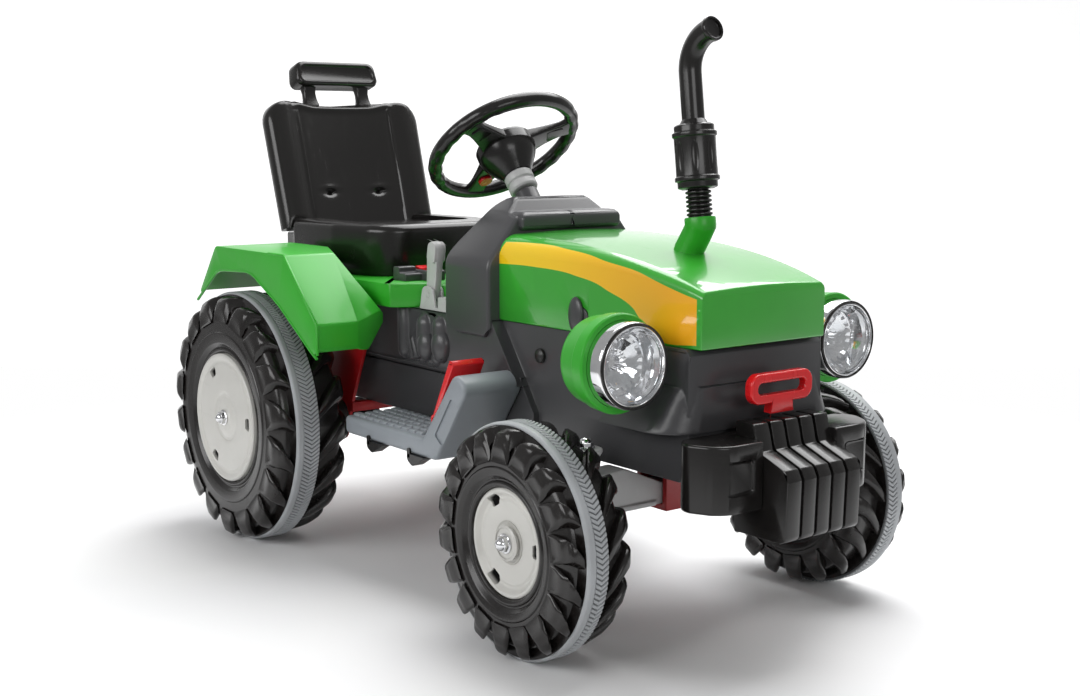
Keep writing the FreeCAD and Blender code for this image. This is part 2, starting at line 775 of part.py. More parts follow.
def lean_back(shape):
    """Places a piece drawn upright at the foot of the seat back."""
    placed = shape.copy()
    placed.rotate(Vec(0, 0, 0), Vec(0, 1, 0), -back_lean)
    placed.translate(Vec(seat_rear - 26, 0, seat_ledge_top - 6))
    return placed


def seat_back():
    outline = [(-back_half + 4, -12), (-back_half, back_height, 36), (back_half, back_height, 36),
               (back_half - 4, -12)]
    panel = slab_x(outline, 0, back_thickness)
    bolsters = slab_x(outline, back_thickness - 1, back_thickness + bolster_depth)
    middle = [(-back_half + bolster_width, -20), (-back_half + bolster_width, back_height - 26, 24),
              (back_half - bolster_width, back_height - 26, 24), (back_half - bolster_width, -20)]
    bolsters = bolsters.cut(slab_x(middle, 0, 80))
    whole = join(panel, [bolsters])
    front = back_thickness + bolster_depth
    crest = [edge for edge in whole.Edges if abs(edge.BoundBox.XMin - front) < 0.01
             and edge.BoundBox.ZMax > 0]
    whole = whole.makeFillet(9.0, crest)
    for side in (-1, 1):
        slot = slab_x([(side * 47 - 9, 62, 3), (side * 47 + 9, 62, 3), (side * 47 + 9, 70, 3),
                       (side * 47 - 9, 70, 3)], -5, 40)
        whole = whole.cut(slot)
    placed = lean_back(whole).cut(block(-300, 0, -200, 200, seat_ledge_top - 80, seat_ledge_top))
    return placed.cut(block(seat_rear - fit, 0, -200, 200, seat_ledge_top - 80, seat_top + fit))


def headrest():
    low = back_height + headrest_gap
    bar = slab_x([(-headrest_half, low, 9), (-headrest_half + 5, low + headrest_height, 12),
                  (headrest_half - 5, low + headrest_height, 12), (headrest_half, low, 9)], -8, 28)
    ends = [edge for edge in bar.Edges if abs(edge.BoundBox.XMin - 28) < 0.01]
    bar = bar.makeFillet(7.0, ends)
    posts = [block(1, back_thickness - 1, side * post_y - 9, side * post_y + 9, back_height, low + 8)
             for side in (-1, 1)]
    return lean_back(join(bar, posts))


# Footrests, drawn for the right side

def stop_outline(inset, low):
    """Side outline of the step with its slanted foot stop."""
    along = math.hypot(stop_front_x - stop_foot_x, stop_front_z - step_bottom)
    nx = (stop_front_z - step_bottom) / along * inset
    drop = (step_bottom - low) * (stop_front_x - stop_foot_x) / (stop_front_z - step_bottom)
    return [(step_rear + inset, low, 8), (step_rear + inset, step_top - inset, 6),
            (step_front - 0.5 * inset, step_top - inset, 4),
            (stop_top_rear_x - 0.6 * inset, stop_top_z - 1.4 * inset, 15 - inset),
            (stop_front_x - 1.6 * inset, stop_front_z - 0.2 * inset, 15 - inset),
            (stop_foot_x - nx - drop, low, 12)]


def pedal_hinge():
    """Hinge line of the pedal, a little above the foot of the slanted stop."""
    dx = stop_top_rear_x - step_front
    dz = stop_top_z - step_top
    length = math.hypot(dx, dz)
    along = (dx / length, dz / length)
    away = (-along[1], along[0])
    x = step_front + 22 * along[0] + 11 * away[0]
    z = step_top + 22 * along[1] + 11 * away[1]
    return x, z, math.degrees(math.atan2(along[1], along[0]))


def footrest_plain():
    solid = slab_y(stop_outline(0.0, step_bottom), -step_outer, -engine_low_half)
    rounded = [edge for edge in solid.Edges if abs(edge.BoundBox.YMin + step_outer) < 0.01
               and abs(edge.BoundBox.YMax + step_outer) < 0.01 and edge.BoundBox.ZMax > step_bottom + 1]
    solid = solid.makeFillet(6.0, rounded)
    hollow = slab_y(stop_outline(wall, step_bottom - 10), -step_outer + wall, -engine_low_half - wall)
    over = block(step_rear, stop_front_x + 10, -engine_half - seat_fit, -engine_low_half + 1,
                 engine_step_z - seat_fit, engine_step_z + stop_rise)
    solid = solid.cut(hollow).cut(over)
    pads = []
    for i in range(int((step_front - step_rear - 20) / pad_pitch)):
        for j in range(int((step_outer - engine_low_half - 14) / 15.5)):
            x = step_rear + 14 + pad_pitch * i
            y = -step_outer + 14 + 15.5 * j + 4.0 * (i % 2)
            pads.append(slab_z([(x, y, 3), (x + 12, y, 3), (x + 12, y + 10, 3), (x, y + 10, 3)],
                               step_top - 0.5, step_top + 1.8))
    arms = [block(x, x + 30, -engine_low_half - wall - 1, -rail_outer, rail_bottom + 2, body_floor - 0.2)
            for x in (step_rear + 30, step_front - 55)]
    panel = slab_y([(0, -2), (0, 1), (78, 1), (78, -2)], -step_outer + 19, -step_outer + 63)
    slope = math.degrees(math.atan2(stop_front_z - step_bottom, stop_front_x - stop_foot_x))
    panel.rotate(Vec(0, 0, 0), Vec(0, 1, 0), -slope)
    panel.translate(Vec(stop_foot_x + 17, 0, step_bottom + 24))
    return join(solid, pads + arms).cut(panel)


def footrest_right():
    """Right footrest with the two ears that hold the pedal."""
    x, z, slope = pedal_hinge()
    parts = []
    for low, inner in ((-pedal_outer - 5, -pedal_outer + 6), (-pedal_inner + 1, -pedal_inner - 6)):
        ear = slab_y([(-9, -7, 6), (9, -7, 6), (9, 20), (-9, 20)], low, low + 4)
        ear.rotate(Vec(0, 0, 0), Vec(0, 1, 0), 180 - slope)
        ear.translate(Vec(x, 0, z))
        parts.append(ear)
        parts.append(rod(pedal_pin_radius, Vec(x, low + 2, z), Vec(x, inner, z)))
    hollow = slab_y(stop_outline(wall, step_bottom - 10), -step_outer + wall, -engine_low_half - wall)
    ears = join(parts[0], parts[1:]).cut(hollow)
    return join(footrest_plain(), ears.Solids)


def footrest_hooks():
    clips = []
    for x in (step_rear + 66, step_front - 33):
        hook = slab_y([(x, step_bottom), (x, step_bottom - 9, 8), (x + 14, step_bottom - 16, 9),
                       (x + 40, step_bottom - 2), (x + 40, step_bottom)],
                      -step_outer - 3, -step_outer + 12)
        tab = slab_y([(x, step_bottom - 5), (x, step_bottom + 8, 3), (x + 7, step_bottom + 8, 3),
                      (x + 7, step_bottom - 5)], -step_outer - 3, -step_outer)
        clips += both_sides(join(hook, [tab]))
    return Part.makeCompound(clips)


def accelerator_pedal():
    x, z, slope = pedal_hinge()
    y0 = -pedal_outer + 1.0
    y1 = -pedal_inner - 1.0
    tip = pedal_length
    plate = slab_y([(-7, -4, 3), (tip, -4, 3), (tip + 4, 5, 4), (tip - 4, 7, 3), (-7, 4, 3)], y0, y1)
    barrel = rod(7.0, Vec(0, y0, 0), Vec(0, y1, 0))
    ridges = [block(18 + 16 * i, 25 + 16 * i, y0 + 7, y1 - 7, 3.5, 6.8) for i in range(4)]
    pedal = join(plate, [barrel] + ridges)
    pedal = pedal.cut(rod(pedal_pin_radius + run, Vec(0, y0 - 1, 0), Vec(0, y1 + 1, 0)))
    pedal.rotate(Vec(0, 0, 0), Vec(0, 1, 0), -(slope + pedal_open))
    pedal.translate(Vec(x, 0, z))
    return pedal


# Front end

def front_bumper():
    back = flare_front
    front = bumper_front
    outline = [(back, -bumper_half + 18, 12), (back + 20, -bumper_half, 26), (front, -bumper_half + 22, 40),
               (front, bumper_half - 22, 40), (back + 20, bumper_half, 26), (back, bumper_half - 18, 12)]
    solid = slab_z(outline, bumper_bottom, bumper_top)
    edges = [edge for edge in solid.Edges if abs(edge.BoundBox.ZMax - edge.BoundBox.ZMin) < 0.01
             and edge.BoundBox.XMax > back + 1]
    solid = solid.makeFillet(4.0, edges)
    pocket = block(weight_back, front + 5, -weight_half, weight_half, bumper_bottom - 5, bumper_top + 5)
    solid = solid.cut(pocket)
    inner = weight_half + 16
    outer = weight_half + 56
    low = bumper_bottom + 22
    high = bumper_top - 20
    panel = slab_x([(inner, low, 5), (outer, low, 5), (outer, high, 5), (inner, high, 5)],
                   front - 2.5, front + 2)
    for recess in both_sides(panel):
        solid = solid.cut(recess)
    skin = front - wall - 3
    inner = weight_half + wall
    half = [(weight_back - wall, inner), (skin, inner), (skin, bumper_half - 26, 30),
            (back + 22, bumper_half - wall - 2, 20), (back + wall, bumper_half - 30)]
    other_half = [(corner[0], -corner[1]) + tuple(corner[2:]) for corner in half[::-1]]
    return solid.cut(slab_z(half + other_half, bumper_bottom - 1, bumper_top - wall))


def weight_outline(inset):
    back = weight_back
    front = front_reach - inset
    top = weight_top - inset
    return [(back, weight_bottom), (back, top), (front - 54, top, 5), (front - 46, top - 30, 5),
            (front - 6, top - 45, 7), (front, top - 56, 7), (front - 2, weight_bottom + 4, 8),
            (front - 12, weight_bottom)]


def front_weights():
    """Stack of weight plates cast as one, with a groove between each two plates."""
    core = slab_y(weight_outline(weight_groove), -weight_half + 1, weight_half - 1)
    pitch = 2.0 * weight_half / weight_plates
    plates = []
    for i in range(weight_plates):
        low = -weight_half + i * pitch + 0.5 * weight_groove * (i > 0)
        high = -weight_half + (i + 1) * pitch - 0.5 * weight_groove * (i < weight_plates - 1)
        plates.append(slab_y(weight_outline(0.0), low, high))
    return join(core, plates)


def tow_handle():
    low = handle_low
    high = handle_high
    x0 = handle_x - handle_depth / 2
    x1 = handle_x + handle_depth / 2
    loop = slab_x([(-handle_half, low, 15), (-handle_half, high, 15), (handle_half, high, 15),
                   (handle_half, low, 15)], x0, x1)
    slot = slab_x([(-handle_half + 12, low + 11, 7), (-handle_half + 12, high - 11, 7),
                   (handle_half - 12, high - 11, 7), (handle_half - 12, low + 11, 7)], x0 - 1, x1 + 1)
    stem = slab_x([(-19, weight_top), (-16, low + 6), (16, low + 6), (19, weight_top)], x0, x1)
    ring = loop.cut(slot)
    edges = [edge for edge in ring.Edges if abs(edge.BoundBox.XMax - edge.BoundBox.XMin) < 0.01
             and edge.BoundBox.YMax - edge.BoundBox.YMin > 0.5]
    return join(ring.makeFillet(2.5, ring.Edges if not edges else edges), [stem])


def front_axle_beam():
    x0 = wheelbase - beam_half_x
    x1 = wheelbase + beam_half_x
    end = kingpin_y - 6
    high = body_floor - 2
    low = sleeve_bottom
    outline = [(-end, low), (-end, high - 2, 8), (-kingpin_y + 50, high, 18), (-46, beam_centre_top, 30),
               (46, beam_centre_top, 30), (kingpin_y - 50, high, 18), (end, high - 2, 8), (end, low)]
    beam = slab_x(outline, x0, x1)
    lip = slab_x([(-end, low), (-end, low + 7), (-rail_outer - 10, low + 7), (-rail_outer - 10, low)],
                 x0 - 4, x1 + 4)
    shapes = both_sides(lip)
    for side in (-1, 1):
        foot = Vec(wheelbase, side * kingpin_y, sleeve_bottom)
        shapes.append(Part.makeCylinder(sleeve_radius + 4, 40, foot))
        shapes.append(Part.makeCylinder(sleeve_radius, sleeve_top - sleeve_bottom, foot))
        flange = Vec(wheelbase, side * kingpin_y, sleeve_top - 16)
        shapes.append(Part.makeCone(sleeve_radius, sleeve_radius + 7, 12, flange))
        flange.z = sleeve_top - 4
        shapes.append(Part.makeCylinder(sleeve_radius + 7, 4, flange))
    beam = join(beam, shapes)
    for side in (-1, 1):
        beam = beam.cut(Part.makeCylinder(axle_radius + run, 200, Vec(wheelbase, side * kingpin_y, 100)))
    return beam


def knuckle_left():
    """Bent spindle: upright kingpin, stub axle and a steering arm to the rear."""
    hub_z = front_wheel_radius
    king = Vec(wheelbase, kingpin_y, 0)
    upright = rod(axle_radius, Vec(king.x, king.y, hub_z - 8), Vec(king.x, king.y, sleeve_top + 7))
    collar = rod(12.0, Vec(king.x, king.y, hub_z - 9), Vec(king.x, king.y, sleeve_bottom - fit))
    stub_end = front_wheel_y + front_hub_face - 1 + 7
    stub = rod(axle_radius, Vec(king.x, king.y, hub_z), Vec(king.x, stub_end, hub_z))
    hub_end = front_wheel_y - front_hub_inside - fit
    shoulder = rod(10.0, Vec(king.x, king.y, hub_z), Vec(king.x, hub_end, hub_z))
    arm_top = tie_z - tie_thickness / 2 - 1.0
    arm = slab_z([(tie_x - 9, kingpin_y - 9, 8), (king.x, kingpin_y - 9), (king.x, kingpin_y + 9),
                  (tie_x - 9, kingpin_y + 9, 8)], arm_top - 7, arm_top)
    pin_top = tie_z + tie_thickness / 2 + 4
    pin = rod(crank_pin_radius, Vec(tie_x, kingpin_y, arm_top - 1), Vec(tie_x, kingpin_y, pin_top))
    return join(upright, [collar, stub, shoulder, arm, pin])


def front_nuts_left():
    """Kingpin nut and wheel nut of one front wheel."""
    bore = axle_radius + 0.05
    face_y = front_wheel_y + front_hub_face - 1 + fit
    top = acorn_nut(Vec(wheelbase, kingpin_y, sleeve_top + fit), Vec(0, 0, 1), bore)
    side = acorn_nut(Vec(wheelbase, face_y, front_wheel_radius), Vec(0, 1, 0), bore)
    return Part.makeCompound([top, side])


def tie_rod():
    """Flat bar with a slot for the crank pin and a slot at each end for the arm pins."""
    z0 = tie_z - tie_thickness / 2
    z1 = tie_z + tie_thickness / 2
    end = kingpin_y + 12
    front = tie_x + 11
    rear = tie_x - 9
    bar = slab_z([(rear, -end, 8), (front, -end, 8), (front, -24, 6), (front + 9, -16, 8), (front + 9, 16, 8),
                  (front, 24, 6), (front, end, 8), (rear, end, 8), (rear, 24, 6), (rear - 5, 16, 8),
                  (rear - 5, -16, 8), (rear, -24, 6)], z0, z1)
    slots = [((tie_x - 7.5, tie_x + 13.5), 0.0, crank_pin_radius + 1.7)]
    slots += [((tie_x - 5.2, tie_x + 7.6), side * kingpin_y, crank_pin_radius + 0.8) for side in (-1, 1)]
    for (x0, x1), y, half in slots:
        outline = [(x0, y - half, 3), (x1, y - half, 3), (x1, y + half, 3), (x0, y + half, 3)]
        bar = bar.cut(slab_z(outline, z0 - 1, z1 + 1))
    return bar


def lamp_centre(side):
    return Vec(0, side * lamp_y, lamp_z)


def headlight_bucket_left():
    """Bell behind the lamp, with the boss that stands on the side of the hull."""
    mouth = lamp_face - 19
    back = lamp_face - 80
    bell = turned_x([(back, 0), (back, 30, 10), (back + 24, 52, 18), (mouth - 2, lamp_bell_radius),
                     (mouth, lamp_bell_radius - 2, 1), (mouth, 0)], lamp_centre(1))
    root = Part.Circle(Vec(back + 32, nose_half, sill - lamp_below - 6), Vec(0, 1, 0), 14.0)
    tip = Part.Circle(Vec(back + 32, lamp_y - 40, lamp_z - 6), Vec(0, 1, 0), 14.0)
    boss = Part.makeLoft([Part.Wire(root.toShape()), Part.Wire(tip.toShape())], True, True)
    seat = lamp_radius + seat_fit
    cavity = turned_x([(back + 6, 0), (back + 6, 26, 8), (back + 28, 46, 14), (back + 40, seat),
                       (mouth + 1, seat), (mouth + 1, 0)], lamp_centre(1))
    return join(bell, [boss]).cut(cavity)


def headlight_reflector_left():
    """Chrome ring and bowl in one piece."""
    f = lamp_face
    r = lamp_radius
    seat = lens_radius + fit
    inner = lens_radius - 2
    ring = [(f - 40, r), (f - 3, r, 2), (f, r - 2.5, 1.5), (f, seat), (f - 7, seat), (f - 7, inner)]
    bowl = [(f - 22, inner - 8, 20), (f - 44, 15, 6), (f - 46, 0), (f - 49, 0), (f - 47, 16, 8),
            (f - 24, inner - 5, 22)]
    back = [(f - 10, inner + 1), (f - 10, r - 3), (f - 40, r - 3)]
    return turned_x(ring + bowl + back, lamp_centre(1))


def headlight_lens_left():
    f = lamp_face
    rim = lens_radius
    outline = [(f - 7, 0), (f - 7, rim), (f - 3, rim, 1), (f + 0.5, rim - 12, 30), (f + 2, 0)]
    return turned_x(outline, lamp_centre(1))


# Exhaust

def stack_axis(along):
    """Point on the leaning exhaust line, at a distance above its foot."""
    tilt = math.radians(stack_lean)
    return Vec(stack_foot_x - along * math.sin(tilt), 0, stack_foot_z + along * math.cos(tilt))


def on_stack(shape):
    placed = shape.copy()
    placed.rotate(Vec(0, 0, 0), Vec(0, 1, 0), -stack_lean)
    placed.translate(stack_axis(0))
    return placed


def exhaust_elbow():
    knee_x = stack_foot_x - 19
    knee_z = stack_foot_z - 31
    points = [Vec(knee_x - 10, 0, knee_z - 34), Vec(knee_x, 0, knee_z), stack_axis(-2), stack_axis(10)]
    shapes = []
    for first, last in zip(points[:-1], points[1:]):
        shapes.append(rod(elbow_radius, first, last))
    shapes += [Part.makeSphere(elbow_radius, points[1]), Part.makeSphere(elbow_radius, points[2])]
    foot = Part.makeCone(elbow_radius + 9, elbow_radius, 26, Vec(knee_x - 9, 0, knee_z - 22), Vec(0.25, 0, 1))
    whole = join(foot, shapes)
    over = hood_shape(0.0)
    over.translate(Vec(0, 0, seat_fit))
    socket = on_stack(Part.makeCylinder(bellows_radius - 2.0 + seat_fit, 30, Vec(0, 0, 2)))
    return whole.cut(over).cut(socket)


def exhaust_bellows():
    """Ribbed sleeve between elbow and muffler."""
    inner = bellows_radius - 3.0
    low = 10.2
    outline = [(9.0, 3.0), (inner + 1.0, 3.0), (inner + 1.0, low), (inner, low)]
    for i in range(bellows_ribs):
        z = low + i * bellows_pitch
        outline += [(inner, z + 0.7), (bellows_radius, z + 1.7, 0.6), (bellows_radius, z + 3.7, 0.6),
                    (inner, z + 4.7)]
    outline += [(inner, muffler_low), (9.0, muffler_low)]
    return on_stack(turned_z(outline))


def exhaust_stack():
    """Muffler with two end rings and long dimples, and the pipe that bends forward."""
    low = muffler_low
    high = muffler_low + muffler_height
    r = muffler_radius
    outline = [(0, low), (r - 6, low), (r - 1, low + 2, 2), (r - 1, low + 10, 1), (r + 2, low + 11, 1),
               (r + 2, low + 15, 1), (r, low + 16), (r, high - 16), (r + 2, high - 15, 1),
               (r + 2, high - 11, 1), (r - 1, high - 10, 1), (r - 1, high - 2, 2), (r - 5, high, 2),
               (pipe_radius + 4, high), (pipe_radius, high + 6, 3), (pipe_radius, high + 10), (0, high + 10)]
    can = turned_z(outline)
    for i in range(8):
        dimple = slab_x([(-5, low + 21, 4.9), (-5, high - 21, 4.9), (5, high - 21, 4.9), (5, low + 21, 4.9)],
                        r - 2.2, r + 5)
        dimple.rotate(Vec(0, 0, 0), Vec(0, 0, 1), 45 * i + 22)
        can = can.cut(dimple)
    straight = high + 62
    pipe = Part.makeCylinder(pipe_radius, straight - high, Vec(0, 0, high))
    bend_face = Part.Face(Part.Wire(Part.makeCircle(pipe_radius, Vec(0, 0, straight))))
    bend = bend_face.revolve(Vec(stack_bend_radius, 0, straight), Vec(0, 1, 0), 78)
    tip = Part.makeCylinder(pipe_radius, 8, Vec(0, 0, straight)).fuse(
        Part.makeCylinder(pipe_radius + 1.2, 6, Vec(0, 0, straight + 4)))
    tip = tip.cut(Part.makeCylinder(pipe_radius - 2.5, 4, Vec(0, 0, straight + 8)))
    tip.rotate(Vec(stack_bend_radius, 0, straight), Vec(0, 1, 0), 78)
    return on_stack(join(can, [pipe, bend, tip]))


# Drive

def battery():
    half = battery_length / 2
    top = body_floor + battery_height
    case = block(battery_x, battery_x + battery_width, -half, half, body_floor, top - 6)
    post = block(battery_x + 12, battery_x + 18, half - 24, half - 18, top - 7, top)
    return join(case, both_sides(post))


def gearmotor_left():
    """Gear case outside the side plate, with the motor can that points inward."""
    z = rear_wheel_radius
    outline = [(-44, z - 22, 34), (-44, z + 34, 34), (34, z + 40, 30), (motor_x + 34, motor_z + 26, 24),
               (motor_x + 30, motor_z - 28, 24), (0, z - 46, 40)]
    case = slab_y(outline, plate_outer, rear_wheel_y - rear_hub_inside - 0.6)
    motor = rod(motor_radius, Vec(motor_x, plate_outer - 66, motor_z), Vec(motor_x, plate_outer + 2, motor_z))
    nose = rod(7.0, Vec(motor_x, plate_outer - 70, motor_z), Vec(motor_x, plate_outer - 60, motor_z))
    whole = join(case, [motor, nose])
    return whole.cut(rod(axle_radius + fit, Vec(0, 100, rear_wheel_radius), Vec(0, 220, rear_wheel_radius)))


def rear_axle():
    reach = rear_wheel_y + rear_hub_face - 1 + 7
    return rod(axle_radius, Vec(0, -reach, rear_wheel_radius), Vec(0, reach, rear_wheel_radius))


def rear_axle_nuts():
    face_y = rear_wheel_y + rear_hub_face - 1 + fit
    nut = acorn_nut(Vec(0, face_y, rear_wheel_radius), Vec(0, 1, 0), axle_radius + 0.05)
    return Part.makeCompound(both_sides(nut))


# Controls

def steering_wheel():
    rim = Part.makeTorus(steer_rim_radius, steer_grip_radius, Vec(0, 0, 0), Vec(0, 0, 1))
    hub_profile = [(0, 7), (steer_hub_radius - 4, 7, 3), (steer_hub_radius, 3, 3), (steer_hub_radius, -14, 4),
                   (24, collar_top + 8, 4), (20, collar_top + seat_fit), (0, collar_top + seat_fit)]
    shapes = [turned_z(hub_profile)]
    for angle in (48.0, -48.0, 180.0):
        reach = steer_rim_radius - 2
        spoke = slab_z([(30, -19, 1), (reach, -14, 1), (reach, 14, 1), (30, 19, 1)], -6, 3)
        spoke.rotate(Vec(0, 0, 0), Vec(0, 0, 1), angle)
        shapes.append(spoke)
    wheel = join(rim, shapes)
    wheel = wheel.cut(Part.makeCylinder(axle_radius + 0.05, 60, Vec(0, 0, -74)))
    wheel = wheel.cut(Part.makeCylinder(button_radius + fit, 40, Vec(button_offset, 0, -20)))
    for angle in (48.0, -48.0):
        wheel = wheel.cut(spoke_inlay(angle, 0.0, 4.0))
    return inward_column(wheel)


def spoke_inlay(angle, gap, extra):
    """Shallow plate let into the underside of a spoke."""
    near = steer_hub_radius + 4 + gap
    far = steer_rim_radius - 16 - gap
    plate = slab_z([(near, -12 + gap, 3), (far, -9 + gap, 3), (far, 9 - gap, 3), (near, 12 - gap, 3)],
                   -7 - extra, -4.5)
    plate.rotate(Vec(0, 0, 0), Vec(0, 0, 1), angle)
    return plate


def spoke_plates():
    plates = [inward_column(spoke_inlay(angle, seat_fit, 0.0)) for angle in (48.0, -48.0)]
    return Part.makeCompound(plates)


def column_collar():
    bore = axle_radius + 0.05
    r = collar_radius
    low = collar_bottom
    profile = [(bore, low), (r - 2, low), (r, low + 3, 2), (r, low + 11), (r - 3, low + 12.5),
               (r - 3, low + 14), (r, low + 15.5), (r, collar_top - 2, 2), (r - 2, collar_top),
               (bore, collar_top)]
    return inward_column(turned_z(profile))


def steering_rod():
    """Straight rod with the crank plate and pin that work the tie rod."""
    top = collar_top + 36
    bottom = rod_bottom
    shaft = rod(axle_radius, Vec(0, 0, bottom), Vec(0, 0, top))
    end = crank_radius + 7.0
    arm = slab_z([(-end, -7, 6.5), (8, -7, 6.5), (8, 7, 6.5), (-end, 7, 6.5)], bottom - 4, bottom + 4)
    pin_end = -crank_depth - crank_pin_below
    pin = rod(crank_pin_radius, Vec(-crank_radius, 0, bottom), Vec(-crank_radius, 0, pin_end))
    return inward_column(join(shaft, [arm, pin]))


def horn_button():
    r = button_radius
    under = -6 - seat_fit
    top = 6 + button_travel
    profile = [(0, -13), (r + 2.5, -13, 1.5), (r + 2.5, under), (r, under), (r, top - 2.5, 1), (0, top, 30)]
    cap = turned_z(profile)
    cap.translate(Vec(button_offset, 0, 0))
    return inward_column(cap)


def lever_bracket():
    y0 = -engine_half
    y1 = -deck_front_half - 0.5
    base = block(lever_x - 20, dash_rear - 2, y0, y1, sill, sill + 4)
    ears = []
    for low, high in ((y0, -lever_y - lever_half - 0.5), (-lever_y + lever_half + 0.5, y1)):
        ears.append(slab_y([(lever_x - 20, sill + 1), (lever_x - 13, lever_z + 13, 11),
                            (lever_x + 13, lever_z + 13, 11), (lever_x + 20, sill + 1)], low, high))
    step_end = dash_rear - 3
    step = slab_y([(lever_x + 26, sill + 1), (lever_x + 26, lever_z, 3), (step_end, lever_z, 3),
                   (step_end, sill + 1)], y0, y1)
    bracket = join(base, ears + [step])
    pin_bore = rod(lever_pin_radius + run, Vec(lever_x, y0 - 1, lever_z), Vec(lever_x, y1 + 1, lever_z))
    return bracket.cut(pin_bore)


def gear_lever():
    low = -lever_y - lever_half
    high = -lever_y + lever_half
    x = lever_x
    z = lever_z
    outline = [(x - 9, z - 6, 7), (x - 6, z + 62, 6), (x + 3, z + 78, 9), (x + 22, z + 74, 9),
               (x + 16, z + 24, 12), (x + 9, z - 6, 7)]
    blade = slab_y(outline, low, high)
    pin = rod(lever_pin_radius, Vec(x, -engine_half, z), Vec(x, -deck_front_half - 0.5, z))
    grip = slab_y([(x - 2, z + 50, 6), (x + 3, z + 78, 9), (x + 22, z + 74, 9), (x + 18, z + 46, 6)],
                  low - 4, high + 4)
    return join(blade, [pin, grip])


def switch_base():
    x = switch_x
    base = block(x - 26, x + 26, switch_y - 16, switch_y + 16, deck_top, switch_pivot_z + 3)
    edges = [edge for edge in base.Edges if edge.BoundBox.ZMin > deck_top + 1]
    base = base.makeFillet(3.0, edges)
    pocket = block(x - 20, x + 20, switch_y - 9.5, switch_y + 9.5, deck_top + 3, switch_pivot_z + 9)
    holder = slab_y([(x - 22, deck_top), (x - 22, deck_top + 20, 3), (x - 6, deck_top + 20, 3),
                     (x - 6, deck_top + 11, 3), (x + 12, deck_top + 11, 3), (x + 12, deck_top)],
                    switch_y - 44, switch_y - 15)
    whole = join(base, [holder]).cut(pocket)
    pin_bore = rod(switch_pin_radius + run, Vec(x, switch_y - 13, switch_pivot_z),
                   Vec(x, switch_y + 13, switch_pivot_z))
    return whole.cut(pin_bore)


def direction_switch():
    x = switch_x
    z = switch_pivot_z
    rocker = slab_y([(x - 17, z + 1, 1), (x - 17, z + 8, 2), (x, z + 4, 20), (x + 17, z + 8, 2),
                     (x + 17, z + 1, 1), (x + 6, z - 5, 4), (x - 6, z - 5, 4)],
                    switch_y - 8.5, switch_y + 8.5)
    pin = rod(switch_pin_radius, Vec(x, switch_y - 12.5, z), Vec(x, switch_y + 12.5, z))
    return join(rocker, [pin])


def charge_socket_cap():
    seat = -nose_half
    profile = [(seat - 7, 0), (seat - 7, 5), (seat - 4, 9.5, 2), (seat, 9.5), (seat, 0)]
    return turned_y(profile, Vec(cap_x, 0, cap_z))


def build_nodes():
    left = {"knuckle": knuckle_left, "front_nuts": front_nuts_left, "headlight_bucket": headlight_bucket_left,
            "headlight_reflector": headlight_reflector_left, "headlight_lens": headlight_lens_left,
            "gearmotor": gearmotor_left, "fender": fender_right}
    single = [chassis_frame, body_shell, hood, dash_console, rear_deck, seat_base, seat_back, headrest,
              footrest_right, footrest_hooks, front_bumper, front_weights, tow_handle, front_axle_beam,
              exhaust_elbow, exhaust_bellows, exhaust_stack, battery, rear_axle, rear_axle_nuts,
              lever_bracket, switch_base, charge_socket_cap, steering_bush, steering_wheel, spoke_plates,
              column_collar, steering_rod, horn_button, tie_rod, accelerator_pedal, gear_lever,
              direction_switch]
    nodes = {make.__name__: make() for make in single}
    nodes["footrest_left"] = mirrored(footrest_plain())
    for name, make in left.items():
        drawn = make()
        drawn_right = name == "fender"
        nodes[name + "_right"] = drawn if drawn_right else mirrored(drawn)
        nodes[name + "_left"] = mirrored(drawn) if drawn_right else drawn
    for name, sizes in (("rear", sizes_rear), ("front", sizes_front)):
        for piece, make in (("tyre", tyre), ("band", band), ("hub", hub)):
            drawn = make(sizes)
            nodes[name + "_" + piece + "_left"] = drawn
            nodes[name + "_" + piece + "_right"] = mirrored(drawn)
    return nodes


def main():
    os.makedirs("parts", exist_ok=True)
    for name, shape in build_nodes().items():
        placed = shape.copy()
        placed.translate(Vec(-origin_x, 0, 0))
        placed.exportStep(os.path.join("parts", name + ".step"))


if __name__ == "__main__":
    main()
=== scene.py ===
"""Looks of a child's ride-on tractor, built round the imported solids."""
import json
import math

import bmesh
import bpy
from mathutils import Matrix, Vector

